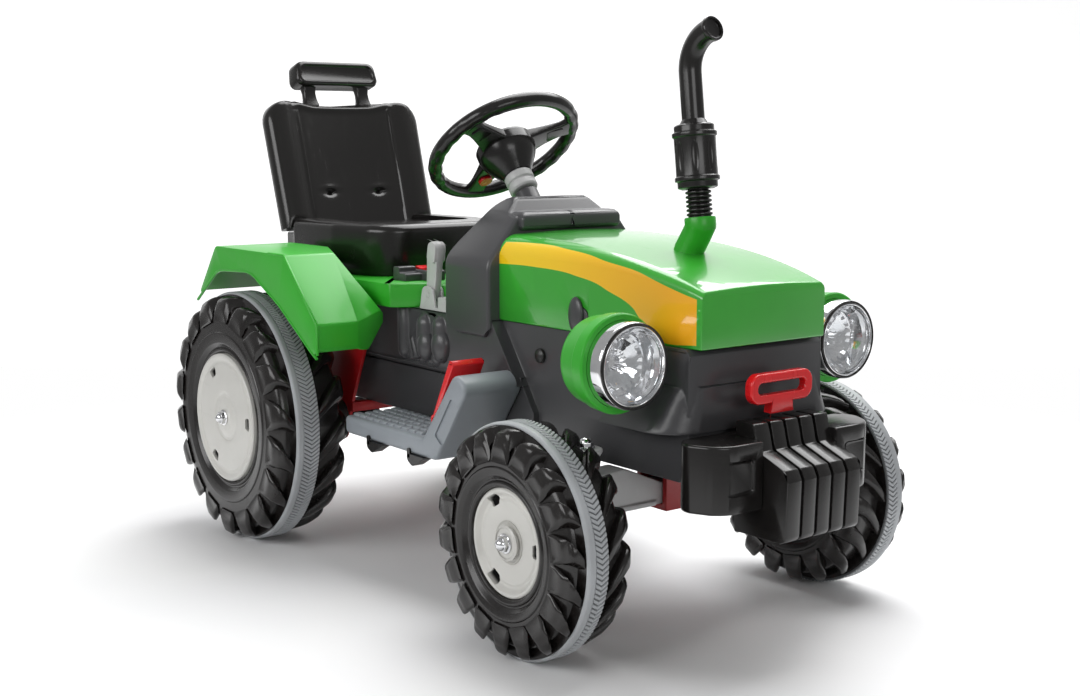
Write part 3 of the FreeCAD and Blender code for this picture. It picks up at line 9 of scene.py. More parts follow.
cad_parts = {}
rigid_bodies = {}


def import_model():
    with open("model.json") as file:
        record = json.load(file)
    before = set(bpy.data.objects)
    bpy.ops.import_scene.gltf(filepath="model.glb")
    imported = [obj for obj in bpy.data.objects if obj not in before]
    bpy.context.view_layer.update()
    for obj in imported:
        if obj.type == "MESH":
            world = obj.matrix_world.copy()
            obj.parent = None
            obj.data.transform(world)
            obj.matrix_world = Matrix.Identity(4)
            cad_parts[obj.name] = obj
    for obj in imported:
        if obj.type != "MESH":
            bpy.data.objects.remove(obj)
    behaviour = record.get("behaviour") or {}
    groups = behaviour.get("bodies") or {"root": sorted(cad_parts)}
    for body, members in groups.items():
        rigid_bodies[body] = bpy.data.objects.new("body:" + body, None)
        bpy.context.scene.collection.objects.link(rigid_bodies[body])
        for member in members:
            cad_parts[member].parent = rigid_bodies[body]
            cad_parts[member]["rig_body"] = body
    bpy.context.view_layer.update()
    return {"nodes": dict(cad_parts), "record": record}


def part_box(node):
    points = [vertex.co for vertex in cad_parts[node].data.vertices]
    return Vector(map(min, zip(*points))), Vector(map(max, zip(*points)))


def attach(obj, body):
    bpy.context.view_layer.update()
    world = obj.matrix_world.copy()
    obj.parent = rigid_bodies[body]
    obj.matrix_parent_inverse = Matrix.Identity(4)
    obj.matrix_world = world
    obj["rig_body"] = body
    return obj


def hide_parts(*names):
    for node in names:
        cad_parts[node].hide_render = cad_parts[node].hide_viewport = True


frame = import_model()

bl_info = {
    "name": "Ride-on tractor looks",
    "version": (1, 0, 0),
    "blender": (4, 5, 0),
    "location": "View3D > Sidebar > Tractor",
    "description": "Dresses the solids of a ride-on tractor with moulded pieces, finishes and a plain stage",
    "category": "Object",
}

SLOT_OF = {part["node"]: part["material_slot"] for part in frame["record"]["subparts"]}
AXLE_X = 0.5 * (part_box("rear_axle")[0].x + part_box("rear_axle")[1].x)
SIDES = (("left", 1), ("right", -1))
AHEAD, ACROSS, UP = Vector((1.0, 0.0, 0.0)), Vector((0.0, 1.0, 0.0)), Vector((0.0, 0.0, 1.0))


def linear(red, green, blue):
    """Colour as a screen shows it, 0 to 255, turned into the light that it stands for."""
    parts = [part / 255.0 for part in (red, green, blue)]
    return tuple(part / 12.92 if part <= 0.04045 else ((part + 0.055) / 1.055) ** 2.4 for part in parts)


def at(x, y, z):
    """Point in millimetres ahead of the rear axle, left of the middle and above the floor."""
    return Vector((AXLE_X + x / 1000.0, y / 1000.0, z / 1000.0))


def leaning(foot_x, foot_z, degrees):
    """Takes points drawn upright, in millimetres from a foot, to a line that leans to the rear."""
    tilt = math.radians(degrees)

    def place(x, y, z):
        return at(foot_x + x * math.cos(tilt) - z * math.sin(tilt), y,
                  foot_z + x * math.sin(tilt) + z * math.cos(tilt))

    return place


lean = leaning(-126.0, 452.0, 16.8)       # seat back, from its foot
on_stack = leaning(710.0, 505.0, 6.9)     # exhaust, from its foot
on_column = leaning(300.4, 598.6, 38.6)   # steering column, wheel plane at z = 0


# Properties

def size(name, text, default, low=0.0, high=0.1):
    return bpy.props.FloatProperty(name=name, description=text, default=default, min=low, max=high,
                                   precision=4, unit="LENGTH")


def tint(name, text, red, green, blue):
    return bpy.props.FloatVectorProperty(name=name, description=text, default=linear(red, green, blue),
                                         min=0.0, max=1.0, size=3, subtype="COLOR")


class TractorSizes(bpy.types.PropertyGroup):
    """Sizes of the moulded detail."""
    shell_edge: size("Shell edge", "Rounding on the edges of the big shells", 0.0025)
    rear_lugs: bpy.props.IntProperty(name="Rear tread bars", description="Bars on each half of a rear tyre",
                                     default=18, min=8, max=40)
    front_lugs: bpy.props.IntProperty(name="Front tread bars", description="Bars on each half of a front tyre",
                                      default=18, min=8, max=40)
    lug_lead: size("Tread lead", "How far the bars lead at the middle of the tread", 0.030)
    band_shift: size("Band offset", "How far the running bands lie outside the middle of the tyres", 0.014)
    rib_pitch: size("Band ribs", "Distance between the ribs of a running band", 0.0062, 0.003)


class TractorColours(bpy.types.PropertyGroup):
    """Colours of the moulded pieces."""
    green: tint("Green", "Hood, deck, fenders and lamp bells", 52, 168, 44)
    dark_grey: tint("Dark grey", "Hull and dash", 70, 70, 72)
    black: tint("Black", "Seat, bumper, weights and exhaust", 22, 20, 19)
    step_grey: tint("Step grey", "Footrests", 146, 152, 158)
    pale_grey: tint("Pale grey", "Axle beam, levers and collar", 190, 190, 190)
    white: tint("White", "Wheel discs", 204, 203, 198)
    band_grey: tint("Band grey", "Running bands", 168, 171, 174)
    tyre: tint("Tyre", "Tyre bodies", 24, 21, 20)
    red: tint("Red", "Tow handle, pedal and buttons", 228, 24, 30)
    frame_red: tint("Frame red", "Chassis", 170, 22, 26)
    yellow: tint("Stripe yellow", "Rear end of the hood stripe", 255, 212, 8)
    orange: tint("Stripe orange", "Front end of the hood stripe", 252, 178, 20)


def sizes():
    return bpy.context.scene.tractor_sizes


def colours():
    return bpy.context.scene.tractor_colours


# Modelling tools

def deselect():
    bpy.ops.object.select_all(action="DESELECT")


def only(piece):
    deselect()
    piece.select_set(True)
    bpy.context.view_layer.objects.active = piece


def edit(piece):
    only(piece)
    bpy.ops.object.mode_set(mode="EDIT")


def leave():
    bpy.ops.object.mode_set(mode="OBJECT")


def pick_all():
    bpy.ops.mesh.select_all(action="SELECT")


def tidy_mesh(merge=0.00002):
    """Merges doubles and turns the faces outwards, in edit mode."""
    pick_all()
    bpy.ops.mesh.remove_doubles(threshold=merge)
    bpy.ops.mesh.normals_make_consistent(inside=False)


def outward(piece):
    """Merges the doubles of a piece and turns its faces outwards."""
    edit(piece)
    tidy_mesh()
    leave()


def flattened(piece, angle, split=True):
    """Merges faces that lie in one plane, within an angle, and splits those that are left concave."""
    edit(piece)
    tidy_mesh()
    bpy.ops.mesh.dissolve_limited(angle_limit=math.radians(angle))
    if split:
        bpy.ops.mesh.vert_connect_concave()
    leave()


def modify(piece, kind, **settings):
    modifier = piece.modifiers.new(kind.title(), kind)
    for key, value in settings.items():
        setattr(modifier, key, value)
    only(piece)
    bpy.ops.object.modifier_apply(modifier=modifier.name)


def round_edges(piece, width, segments=2, limit=32.0):
    modify(piece, "BEVEL", width=width, segments=segments, limit_method="ANGLE",
           angle_limit=math.radians(limit), use_clamp_overlap=False)


def smooth(piece, limit=35.0):
    only(piece)
    bpy.ops.object.shade_smooth_by_angle(angle=math.radians(limit))


def rounded(corners, closed=False, step=20.0):
    """Outline through few corners; a third number rounds a corner with an arc."""
    count = len(corners)
    points = []
    for i, corner in enumerate(corners):
        here = Vector(corner[:2])
        radius = corner[2] if len(corner) > 2 else 0.0
        ends = not closed and i in (0, count - 1)
        if radius <= 0.0 or ends:
            points.append(here)
            continue
        back = (Vector(corners[i - 1][:2]) - here).normalized()
        ahead = (Vector(corners[(i + 1) % count][:2]) - here).normalized()
        turn = math.pi - back.angle(ahead)
        reach = radius * math.tan(turn / 2.0)
        middle = here + (back + ahead).normalized() * (radius / math.cos(turn / 2.0))
        first = here + back * reach - middle
        last = here + ahead * reach - middle
        parts = max(2, int(math.ceil(math.degrees(turn) / step)))
        for k in range(parts + 1):
            share = k / parts
            spoke = first.slerp(last, share) if turn > 0.001 else first
            points.append(middle + spoke.normalized() * radius)
    return points


def turned(name, outline, centre, axis, steps=96, closed=False):
    """Form spun from a half section of (along the axis, distance from it)."""
    axis = Vector(axis).normalized()
    side = axis.orthogonal().normalized()
    spots = [centre + axis * point[0] + side * point[1] for point in outline]
    if closed:
        spots.append(spots[0])
    deselect()
    bpy.ops.mesh.primitive_plane_add(size=0.001)
    piece = bpy.context.object
    piece.name = name
    bpy.ops.object.mode_set(mode="EDIT")
    bpy.ops.mesh.merge(type="CENTER")
    form = bmesh.from_edit_mesh(piece.data)
    form.verts.ensure_lookup_table()
    form.verts[0].co = spots[0]
    bmesh.update_edit_mesh(piece.data)
    pick_all()
    for here, there in zip(spots, spots[1:]):
        bpy.ops.mesh.extrude_vertices_move(TRANSFORM_OT_translate={"value": there - here})
    pick_all()
    bpy.ops.mesh.spin(steps=steps, angle=2.0 * math.pi, center=centre, axis=axis)
    tidy_mesh()
    leave()
    return piece


def lofted(name, sections):
    """Closed form extruded from section to section; each section has the same number of points."""
    deselect()
    bpy.ops.mesh.primitive_circle_add(vertices=len(sections[0]), radius=1.0, fill_type="NGON")
    piece = bpy.context.object
    piece.name = name
    bpy.ops.object.mode_set(mode="EDIT")
    form = bmesh.from_edit_mesh(piece.data)
    for vert, spot in zip(form.verts, sections[0]):
        vert.co = spot
    bmesh.update_edit_mesh(piece.data)
    pick_all()
    for before, after in zip(sections, sections[1:]):
        bpy.ops.mesh.extrude_region_move()
        form = bmesh.from_edit_mesh(piece.data)
        for vert in form.verts:
            if vert.select:
                nearest = min(range(len(before)), key=lambda k: (vert.co - before[k]).length_squared)
                vert.co = after[nearest]
        bmesh.update_edit_mesh(piece.data)
    tidy_mesh()
    leave()
    return piece


def repeat_round(piece, count, centre, axis):
    """Repeats the whole mesh evenly round an axis."""
    edit(piece)
    pick_all()
    bpy.ops.mesh.spin(steps=count - 1, angle=2.0 * math.pi * (count - 1) / count, dupli=True,
                      center=centre, axis=axis)
    leave()


def copy_of(piece, name):
    twin = bpy.data.objects.new(name, piece.data.copy())
    bpy.context.scene.collection.objects.link(twin)
    return twin


def mirror_of(piece, name):
    """Copy on the other side of the tractor's middle plane."""
    twin = copy_of(piece, name)
    edit(twin)
    pick_all()
    bpy.ops.transform.resize(value=(1.0, -1.0, 1.0), center_override=(0.0, 0.0, 0.0))
    bpy.ops.mesh.flip_normals()
    leave()
    return twin


def joined(name, pieces):
    deselect()
    for piece in pieces:
        piece.select_set(True)
    bpy.context.view_layer.objects.active = pieces[0]
    bpy.ops.object.join()
    pieces[0].name = name
    return pieces[0]


def painted(piece, finish):
    """Leaves one finish on a piece."""
    piece.data.materials.clear()
    piece.data.materials.append(finish)


def finished(piece, body, slot, *nodes):
    """Gives a piece its finish, its body and the solids that it stands for."""
    painted(piece, finish_of(slot))
    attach(piece, body)
    if nodes:
        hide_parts(*nodes)
    return piece


def finished_pair(piece, side, name, body, slot, node):
    """Finishes a piece and its mirror image; {} in the names stands for the side."""
    other = "right" if side == "left" else "left"
    piece.name = name.format(side)
    twin = mirror_of(piece, name.format(other))
    for part, place in ((piece, side), (twin, other)):
        finished(part, body.format(place), slot, node.format(place))


def hollowed(piece, cutter, operation="DIFFERENCE"):
    """Cuts one piece out of another, or keeps what they share."""
    modify(piece, "BOOLEAN", operation=operation, object=cutter, solver="EXACT")
    bpy.data.objects.remove(cutter)


def prism(name, corners, along, low, high):
    """Outline in millimetres drawn out along X (from y, z) or along Y (from x, z)."""
    outline = rounded(corners, True, 15.0)
    if along == "X":
        ends = [[at(x, p.x, p.y) for p in outline] for x in (low, high)]
    else:
        ends = [[at(p.x, y, p.y) for p in outline] for y in (low, high)]
    return lofted(name, ends)


def trimmed(piece, point, normal):
    """Cuts off what lies beyond a plane and closes the cut."""
    edit(piece)
    pick_all()
    bpy.ops.mesh.bisect(plane_co=point, plane_no=normal, use_fill=True, clear_outer=True, threshold=0.00001)
    leave()


def rail(name, spots, radius, steps=10):
    """Round bar through a few points, with mitred corners."""
    sections = []
    for i, spot in enumerate(spots):
        back = (spot - spots[i - 1]).normalized() if i else (spots[1] - spot).normalized()
        ahead = (spots[i + 1] - spot).normalized() if i + 1 < len(spots) else back
        along = (back + ahead).normalized()
        side = along.cross(ACROSS).normalized()
        sections.append(circle(spot, side, along.cross(side), radius, steps))
    piece = lofted(name, sections)
    smooth(piece, 50.0)
    return piece


def moved(piece, place):
    """Takes every point of a piece, drawn in millimetres, to its place on the tractor."""
    edit(piece)
    form = bmesh.from_edit_mesh(piece.data)
    for vert in form.verts:
        vert.co = place(*vert.co)
    bmesh.update_edit_mesh(piece.data)
    tidy_mesh()
    leave()
    return piece


def ball(segments, rings, place):
    """Sphere of radius 1, taken to its place point by point."""
    deselect()
    bpy.ops.mesh.primitive_uv_sphere_add(segments=segments, ring_count=rings, radius=1.0)
    return moved(bpy.context.object, place)


def circle(spot, side, other, radius, steps):
    """Points of a circle round a spot, in the plane of two directions."""
    turns = [2.0 * math.pi * k / steps for k in range(steps)]
    return [spot + (side * math.cos(turn) + other * math.sin(turn)) * radius for turn in turns]


def metres(outline):
    """Outline drawn in millimetres, radii too, in metres."""
    return [tuple(part / 1000.0 for part in corner) for corner in outline]


def swell(distance, width, height):
    """Fall of a rounded edge at a distance from it, quarter of an ellipse."""
    if distance >= width:
        return 0.0
    return height * (1.0 - math.sqrt(1.0 - (1.0 - distance / width) ** 2))


def ramp(value, low, high):
    """0 at low, 1 at high and a smooth rise between."""
    share = min(1.0, max(0.0, (value - low) / (high - low)))
    return share * share * (3.0 - 2.0 * share)


def cast(node, edge, segments=2, limit=34.0):
    """Copy of a solid with its facets merged and its edges rounded, standing in for the solid."""
    source = frame["nodes"][node]
    piece = bpy.data.objects.new(node + "_moulded", source.data.copy())
    bpy.context.scene.collection.objects.link(piece)
    only(piece)
    bpy.ops.mesh.customdata_custom_splitnormals_clear()
    edit(piece)
    pick_all()
    bpy.ops.mesh.remove_doubles(threshold=0.00005)
    bpy.ops.mesh.dissolve_limited(angle_limit=math.radians(1.0))
    bpy.ops.mesh.vert_connect_concave()
    leave()
    round_edges(piece, edge, segments, limit)
    smooth(piece, limit)
    return finished(piece, source["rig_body"], SLOT_OF[node], node)


# Finishes

class Number:
    """Number that changes over a surface; Python's operators add Math nodes."""

    def __init__(self, finish, socket):
        self.finish = finish
        self.socket = socket

    def math(self, operation, *values):
        node = self.finish.node("ShaderNodeMath", {"operation": operation}, dict(enumerate(values)))
        return Number(self.finish, node.outputs[0])

    def __add__(self, other):
        return self.math("ADD", self, other)

    def __radd__(self, other):
        return self.math("ADD", other, self)

    def __sub__(self, other):
        return self.math("SUBTRACT", self, other)

    def __rsub__(self, other):
        return self.math("SUBTRACT", other, self)

    def __mul__(self, other):
        return self.math("MULTIPLY", self, other)

    def __rmul__(self, other):
        return self.math("MULTIPLY", other, self)

    def __abs__(self):
        return self.math("ABSOLUTE", self)

    def fade(self, low, high):
        """0 below low, 1 above high and a smooth rise between."""
        settings = {"interpolation_type": "SMOOTHSTEP"}
        node = self.finish.node("ShaderNodeMapRange", settings, {0: self, 1: low, 2: high, 3: 0.0, 4: 1.0})
        return Number(self.finish, node.outputs[0])


class Finish:
    """Material with one Principled shader."""

    def __init__(self, name, **constants):
        self.material = bpy.data.materials.new(name)
        self.material.use_nodes = True
        self.tree = self.material.node_tree
        self.tree.nodes.clear()
        self.shader = self.node("ShaderNodeBsdfPrincipled", {}, constants)
        output = self.node("ShaderNodeOutputMaterial", {}, {})
        self.tree.links.new(self.shader.outputs[0], output.inputs[0])
        self.place = self.node("ShaderNodeTexCoord", {}, {}).outputs["Object"]

    def node(self, kind, settings, inputs):
        node = self.tree.nodes.new(kind)
        for key, value in settings.items():
            if key == "stops":
                for spot, _ in value[2:]:
                    node.color_ramp.elements.new(spot)
                for element, (spot, colour) in zip(node.color_ramp.elements, value):
                    element.position = spot
                    element.color = colour
            elif key == "ramp":
                node.color_ramp.interpolation = value
            else:
                setattr(node, key, value)
        for key, value in inputs.items():
            self.feed(node.inputs[key], value)
        return node

    def feed(self, socket, value):
        if isinstance(value, Number):
            value = value.socket
        if isinstance(value, bpy.types.NodeSocket):
            self.tree.links.new(value, socket)
        elif isinstance(value, (tuple, list)) and len(value) == 3 and len(socket.default_value) == 4:
            socket.default_value = tuple(value) + (1.0,)
        else:
            socket.default_value = value

    def set(self, **inputs):
        for key, value in inputs.items():
            self.feed(self.shader.inputs[key.replace("_", " ")], value)

    def spread(self, stretch=(1.0, 1.0, 1.0), turn=(0.0, 0.0, 0.0)):
        node = self.node("ShaderNodeMapping", {}, {"Vector": self.place, "Scale": stretch, "Rotation": turn})
        return node.outputs[0]

    def noise(self, scale, detail=2.0, roughness=0.5, where=None):
        node = self.node("ShaderNodeTexNoise", {}, {"Vector": where or self.place, "Scale": scale,
                                                    "Detail": detail, "Roughness": roughness})
        return Number(self, node.outputs["Fac"])

    def axes(self):
        node = self.node("ShaderNodeSeparateXYZ", {}, {0: self.place})
        return [Number(self, socket) for socket in node.outputs]

    def raised(self):
        """Mask stored on the piece for painted shade: 0 where shaded, 1 where lit."""
        return Number(self, self.node("ShaderNodeAttribute", {"attribute_name": "raised"}, {}).outputs["Fac"])

    def mix(self, first, second, share):
        node = self.node("ShaderNodeMix", {"data_type": "RGBA"}, {0: share, 6: first, 7: second})
        return node.outputs[2]

    def line(self, value, stops):
        """Curve through (spot, height) pairs, both between 0 and 1."""
        shown = [(spot, (height, height, height, 1.0)) for spot, height in stops]
        node = self.node("ShaderNodeValToRGB", {"ramp": "CARDINAL", "stops": shown}, {0: value})
        return Number(self, self.node("ShaderNodeSeparateColor", {}, {0: node.outputs[0]}).outputs[0])

    def bump(self, height, strength, distance):
        node = self.node("ShaderNodeBump", {}, {"Strength": strength, "Distance": distance, "Height": height})
        self.set(Normal=node.outputs[0])


def shade(colour, factor):
    return tuple(min(1.0, part * factor) for part in colour)


def plastic(name, colour, rough=0.30, grain=0.2, coat=0.0, dust=0.06, specular=0.5):
    """Moulded plastic: slow changes of tone, fine grain, faint handling marks and a little dust low down."""
    f = Finish(name, Metallic=0.0)
    f.set(Coat_Weight=coat, Coat_Roughness=0.05, Specular_IOR_Level=specular)
    flow = f.noise(7.0, 3.0)
    fine = f.noise(900.0, 2.0)
    pits = f.noise(210.0, 3.0, 0.6)
    marks = f.noise(26.0, 5.0, 0.62, f.spread((1.0, 3.0, 0.6), (0.3, 0.5, 0.2)))
    rubbed = marks.fade(0.56, 0.74)
    low = 1.0 - f.axes()[2].fade(0.05, 0.34)
    tone = f.mix(shade(colour, 0.94), shade(colour, 1.05), flow.fade(0.3, 0.7))
    worn = f.mix(tone, shade(colour, 1.18), rubbed * 0.2)
    dusty = tuple(0.7 * part + 0.05 for part in colour)
    f.set(Base_Color=f.mix(worn, dusty, low * pits.fade(0.42, 0.7) * dust * 3.0))
    f.set(Roughness=rough + 0.08 * rubbed + 0.05 * flow - 0.03)
    f.bump(fine * 0.6 + pits * 0.4, grain, 0.00035)
    return f.material


def hood_finish(name):
    """Glossy green with a yellow stripe laid along each side of the hood."""
    c = colours()
    green = tuple(c.green)
    f = Finish(name, Metallic=0.0)
    f.set(Coat_Weight=0.8, Coat_Roughness=0.03, Specular_IOR_Level=0.5)
    x, y, z = f.axes()
    flow = f.noise(7.0, 3.0)
    fine = f.noise(900.0, 2.0)
    marks = f.noise(26.0, 5.0, 0.62, f.spread((1.0, 3.0, 0.6), (0.3, 0.5, 0.2)))
    rubbed = marks.fade(0.58, 0.76)
    tone = f.mix(shade(green, 0.94), shade(green, 1.06), flow.fade(0.3, 0.7))
    from_x, long_x, from_z, tall_z = 440.0, 384.0, 370.0, 120.0   # box round the stripe, in millimetres
    along = (x - at(from_x, 0, 0).x) * (1.0 / (long_x / 1000.0))

    def spot(mm):
        return (mm - from_x) / long_x

    def rise(mm):
        return (mm - from_z) / tall_z

    upper = f.line(along, [(0.0, rise(474)), (spot(500), rise(476)), (spot(570), rise(474)),
                           (spot(650), rise(465)), (spot(735), rise(450)), (1.0, rise(427))])
    lower = f.line(along, [(0.0, rise(445)), (spot(520), rise(446)), (spot(600), rise(442)),
                           (spot(660), rise(430)), (spot(715), rise(408)), (spot(750), rise(376)),
                           (1.0, rise(375))])
    height = (z - from_z / 1000.0) * (1.0 / (tall_z / 1000.0))
    inside, below, above = [gap.fade(0.0, 0.006) for gap in (height, upper - height, height - lower)]
    slant = x - (z - 0.460) * 0.35
    rear = slant.fade(at(450.0, 0, 0).x, at(450.6, 0, 0).x)
    front = 1.0 - x.fade(at(814.5, 0, 0).x, at(815.1, 0, 0).x)
    sides = abs(y).fade(0.060, 0.0605)
    stripe = below * above * rear * front * sides * inside
    warm = f.mix(tuple(c.yellow), tuple(c.orange), along.fade(0.1, 0.9))
    f.set(Base_Color=f.mix(f.mix(tone, shade(green, 1.2), rubbed * 0.2), warm, stripe))
    f.set(Roughness=0.27 + 0.08 * rubbed + 0.05 * flow + 0.05 * stripe)
    f.bump(fine * 0.5 + stripe * 0.8, 0.16, 0.0003)
    return f.material


def chrome(name):
    """Bright plating with faint waves and specks."""
    f = Finish(name, Metallic=1.0)
    haze = f.noise(30.0, 4.0)
    specks = f.noise(420.0, 2.0)
    f.set(Base_Color=f.mix((0.72, 0.73, 0.75), (0.88, 0.88, 0.89), haze.fade(0.3, 0.7)))
    f.set(Roughness=0.05 + 0.09 * haze.fade(0.45, 0.8) + 0.05 * specks.fade(0.62, 0.8))
    f.bump(f.noise(60.0, 2.0), 0.05, 0.0006)
    return f.material


def steel(name):
    """Plated steel rod with fine turning lines."""
    f = Finish(name, Metallic=1.0)
    lines = f.noise(40.0, 3.0, 0.5, f.spread((30.0, 1.0, 30.0)))
    tarnish = f.noise(22.0, 4.0)
    f.set(Base_Color=f.mix((0.42, 0.42, 0.43), (0.62, 0.62, 0.63), tarnish.fade(0.3, 0.7)))
    f.set(Roughness=0.28 + 0.2 * lines.fade(0.4, 0.8))
    f.bump(lines, 0.12, 0.0002)
    return f.material


def lens_plastic(name):
    """Clear moulded lens with a few fine specks."""
    f = Finish(name, Metallic=0.0, IOR=1.46)
    f.set(Transmission_Weight=1.0, Specular_IOR_Level=0.5)
    specks = f.noise(380.0, 2.0)
    haze = f.noise(40.0, 3.0)
    f.set(Base_Color=f.mix((0.93, 0.95, 0.96), (1.0, 1.0, 1.0), haze.fade(0.3, 0.7)))
    f.set(Roughness=0.015 + 0.05 * specks.fade(0.66, 0.8))
    return f.material


def band_rubber(name):
    """Soft grey band with painted shade: lighter on the ribs and painted darker in the hollows between them."""
    colour = tuple(colours().band_grey)
    f = Finish(name, Metallic=0.0)
    f.set(Specular_IOR_Level=0.45)
    flow = f.noise(16.0, 4.0)
    fine = f.noise(1100.0, 2.0)
    raised = f.raised()
    tone = f.mix(shade(colour, 0.92), shade(colour, 1.08), flow.fade(0.3, 0.7))
    worn = f.mix(tone, shade(colour, 1.3), fine.fade(0.55, 0.8) * 0.25)
    # Painted shade: the floor between the ribs is painted a third as bright as the ribs.
    f.set(Base_Color=f.mix(shade(colour, 0.34), worn, raised))
    f.set(Roughness=0.42 + 0.16 * flow)
    f.bump(fine, 0.3, 0.0003)
    return f.material


def disc_plastic(name):
    """White plastic of the wheel discs, with painted shade: near black inside where the wheel is open."""
    colour = tuple(colours().white)
    f = Finish(name, Metallic=0.0)
    f.set(Specular_IOR_Level=0.5)
    flow = f.noise(9.0, 3.0)
    fine = f.noise(900.0, 2.0)
    marks = f.noise(30.0, 5.0, 0.62, f.spread((0.7, 1.0, 2.4), (0.2, 0.4, 0.3)))
    front = f.raised()
    tone = f.mix(shade(colour, 0.95), shade(colour, 1.04), flow.fade(0.3, 0.7))
    worn = f.mix(tone, shade(colour, 0.86), marks.fade(0.56, 0.76) * 0.4)
    # Painted shade: behind its face the disc is painted near black.
    f.set(Base_Color=f.mix(shade(colour, 0.03), worn, front.fade(0.2, 0.8)))
    f.set(Roughness=0.32 + 0.1 * marks.fade(0.5, 0.8) + 0.04 * flow)
    f.bump(fine, 0.1, 0.0003)
    return f.material


# Plastics: colour, then roughness, grain, coat, dust and specular level where they differ from the usual
PLASTICS = {
    "green_plastic": ("green", 0.34, 0.12, 0.06, 0.03, 0.4),
    "dark_grey_plastic": ("dark_grey", 0.30, 0.2),
    "black_plastic": ("black", 0.22, 0.14),
    "step_grey_plastic": ("step_grey", 0.34, 0.25),
    "pale_grey_plastic": ("pale_grey", 0.36, 0.2),
    "tyre_black": ("tyre", 0.23, 0.16),
    "red_plastic": ("red", 0.26, 0.12, 0.4),
    "red_frame": ("frame_red", 0.36, 0.2),
    "case_black": ("black", 0.5, 0.4),
}
OTHER_FINISHES = {"hood_green": hood_finish, "white_plastic": disc_plastic, "band_grey": band_rubber,
                  "chrome": chrome, "clear_lens": lens_plastic, "steel": steel}
MADE = {}


def finish_of(slot):
    """Finish for a slot of the part's record, made on first use."""
    if slot not in MADE:
        if slot in PLASTICS:
            colour, *settings = PLASTICS[slot]
            MADE[slot] = plastic(slot, tuple(getattr(colours(), colour)), *settings)
        else:
            MADE[slot] = OTHER_FINISHES[slot](slot)
    return MADE[slot]


# Wheels

def wheel_sizes(end):
    """Centre, radii and half widths of a left wheel, read from its solids."""
    low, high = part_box(end + "_tyre_left")
    band_low, band_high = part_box(end + "_band_left")
    hub_low, hub_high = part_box(end + "_hub_left")
    centre = 0.5 * (low + high)
    centre.z = 0.5 * (band_high.z + band_low.z)
    radius = 0.5 * (band_high.z - band_low.z)
    land = radius - 0.004
    return {"centre": centre, "radius": radius,
            "half": 0.5 * (high.y - low.y) - 0.002, "edge": 0.5 * (band_high.y - band_low.y),
            "land": land, "base": land - 0.013, "shift": sizes().band_shift, "rim": 0.5 * (hub_high.x - hub_low.x),
            "face": hub_high.y - centre.y}


def tread_bar(w, hand, pitch):
    """One bar at the top of the tyre, from the running band over the shoulder to the side wall."""
    land, base = w["land"], w["base"]
    edge = w["edge"] + hand * w["shift"] + 0.0004
    half = w["half"]
    room = half - edge
    lead = sizes().lug_lead * room / (half - w["edge"])
    stations = [(edge, land - 0.0012, base - 0.004, 0.30, 1.0),
                (edge + 0.20 * room, land - 0.0006, base - 0.004, 0.36, 0.74),
                (edge + 0.42 * room, land - 0.0010, base - 0.005, 0.43, 0.46),
                (edge + 0.64 * room, land - 0.0026, base - 0.007, 0.51, 0.22),
                (edge + 0.82 * room, land - 0.0062, base - 0.011, 0.57, 0.09),
                (half - 0.0030, base + 0.0020, base - 0.018, 0.60, 0.03),
                (half - 0.0008, base - 0.0035, base - 0.024, 0.60, 0.0),
                (half + 0.0004, base - 0.0090, base - 0.027, 0.56, 0.0),
                (half - 0.0008, base - 0.0150, base - 0.026, 0.46, 0.0)]
    sections = []
    for axial, top, bottom, width, along in stations:
        middle = along * lead / base
        ring = []
        deep = top - bottom
        for height, share in ((0.0, -0.56), (0.62, -0.46), (0.90, -0.38), (1.0, -0.26), (1.0, 0.26),
                              (0.90, 0.38), (0.62, 0.46), (0.0, 0.56)):
            spoke = bottom + height * deep
            turn = middle + share * width * pitch / spoke
            spot = Vector((spoke * math.sin(turn), hand * axial, spoke * math.cos(turn)))
            ring.append(w["centre"] + spot)
        sections.append(ring)
    return lofted("tread_bar", sections)


def tyre(end, count):
    """Blow-moulded tyre with two rows of bars whose middles lead."""
    w = wheel_sizes(end)
    half, rim, land, base = w["half"], w["rim"], w["land"], w["base"]
    ridge = rim + 0.42 * (base - rim)

    def wall(edge):
        return [(half - 0.012, rim), (half - 0.0075, rim + 0.0015, 0.0015), (half - 0.0055, rim + 0.0065, 0.003),
                (half - 0.0085, rim + 0.0085, 0.001), (half - 0.0085, rim + 0.0105, 0.001),
                (half - 0.0035, rim + 0.0155, 0.004), (half - 0.0012, ridge - 0.002, 0.006),
                (half - 0.0012, ridge, 0.0008), (half - 0.0026, ridge + 0.0014, 0.0008),
                (half - 0.0020, base - 0.026, 0.016), (half - 0.011, base - 0.0015, 0.012), (edge + 0.002, base),
                (edge, land)]

    outside = wall(w["edge"] + w["shift"])
    inside = [(-corner[0],) + tuple(corner[1:]) for corner in wall(w["edge"] - w["shift"])[::-1]]
    body = turned("tyre_body", rounded(outside + inside, True, 15.0), w["centre"], (0, 1, 0), 108, True)
    smooth(body, 40.0)
    pitch = 2.0 * math.pi * w["radius"] / count
    rows = []
    for hand in (1, -1):
        row = tread_bar(w, hand, pitch)
        if hand < 0:
            edit(row)
            pick_all()
            bpy.ops.transform.rotate(value=math.pi / count, orient_axis="Y", center_override=w["centre"])
            leave()
        repeat_round(row, count, w["centre"], (0, 1, 0))
        smooth(row, 50.0)
        rows.append(row)
    finished_pair(joined("tyre", [body] + rows), "left", end + "_tyre_{}_moulded", end + "_wheel_{}", "tyre_black",
                  end + "_tyre_{}")


def raised_mark(piece, height_at):
    """Stores how far each point of a piece stands out, for the finish to read as painted shade: 0 is shaded, 1 is lit.
    """
    store = piece.data.attributes.new("raised", "FLOAT", "POINT")
    store.data.foreach_set("value", [height_at(vert.co) for vert in piece.data.vertices])


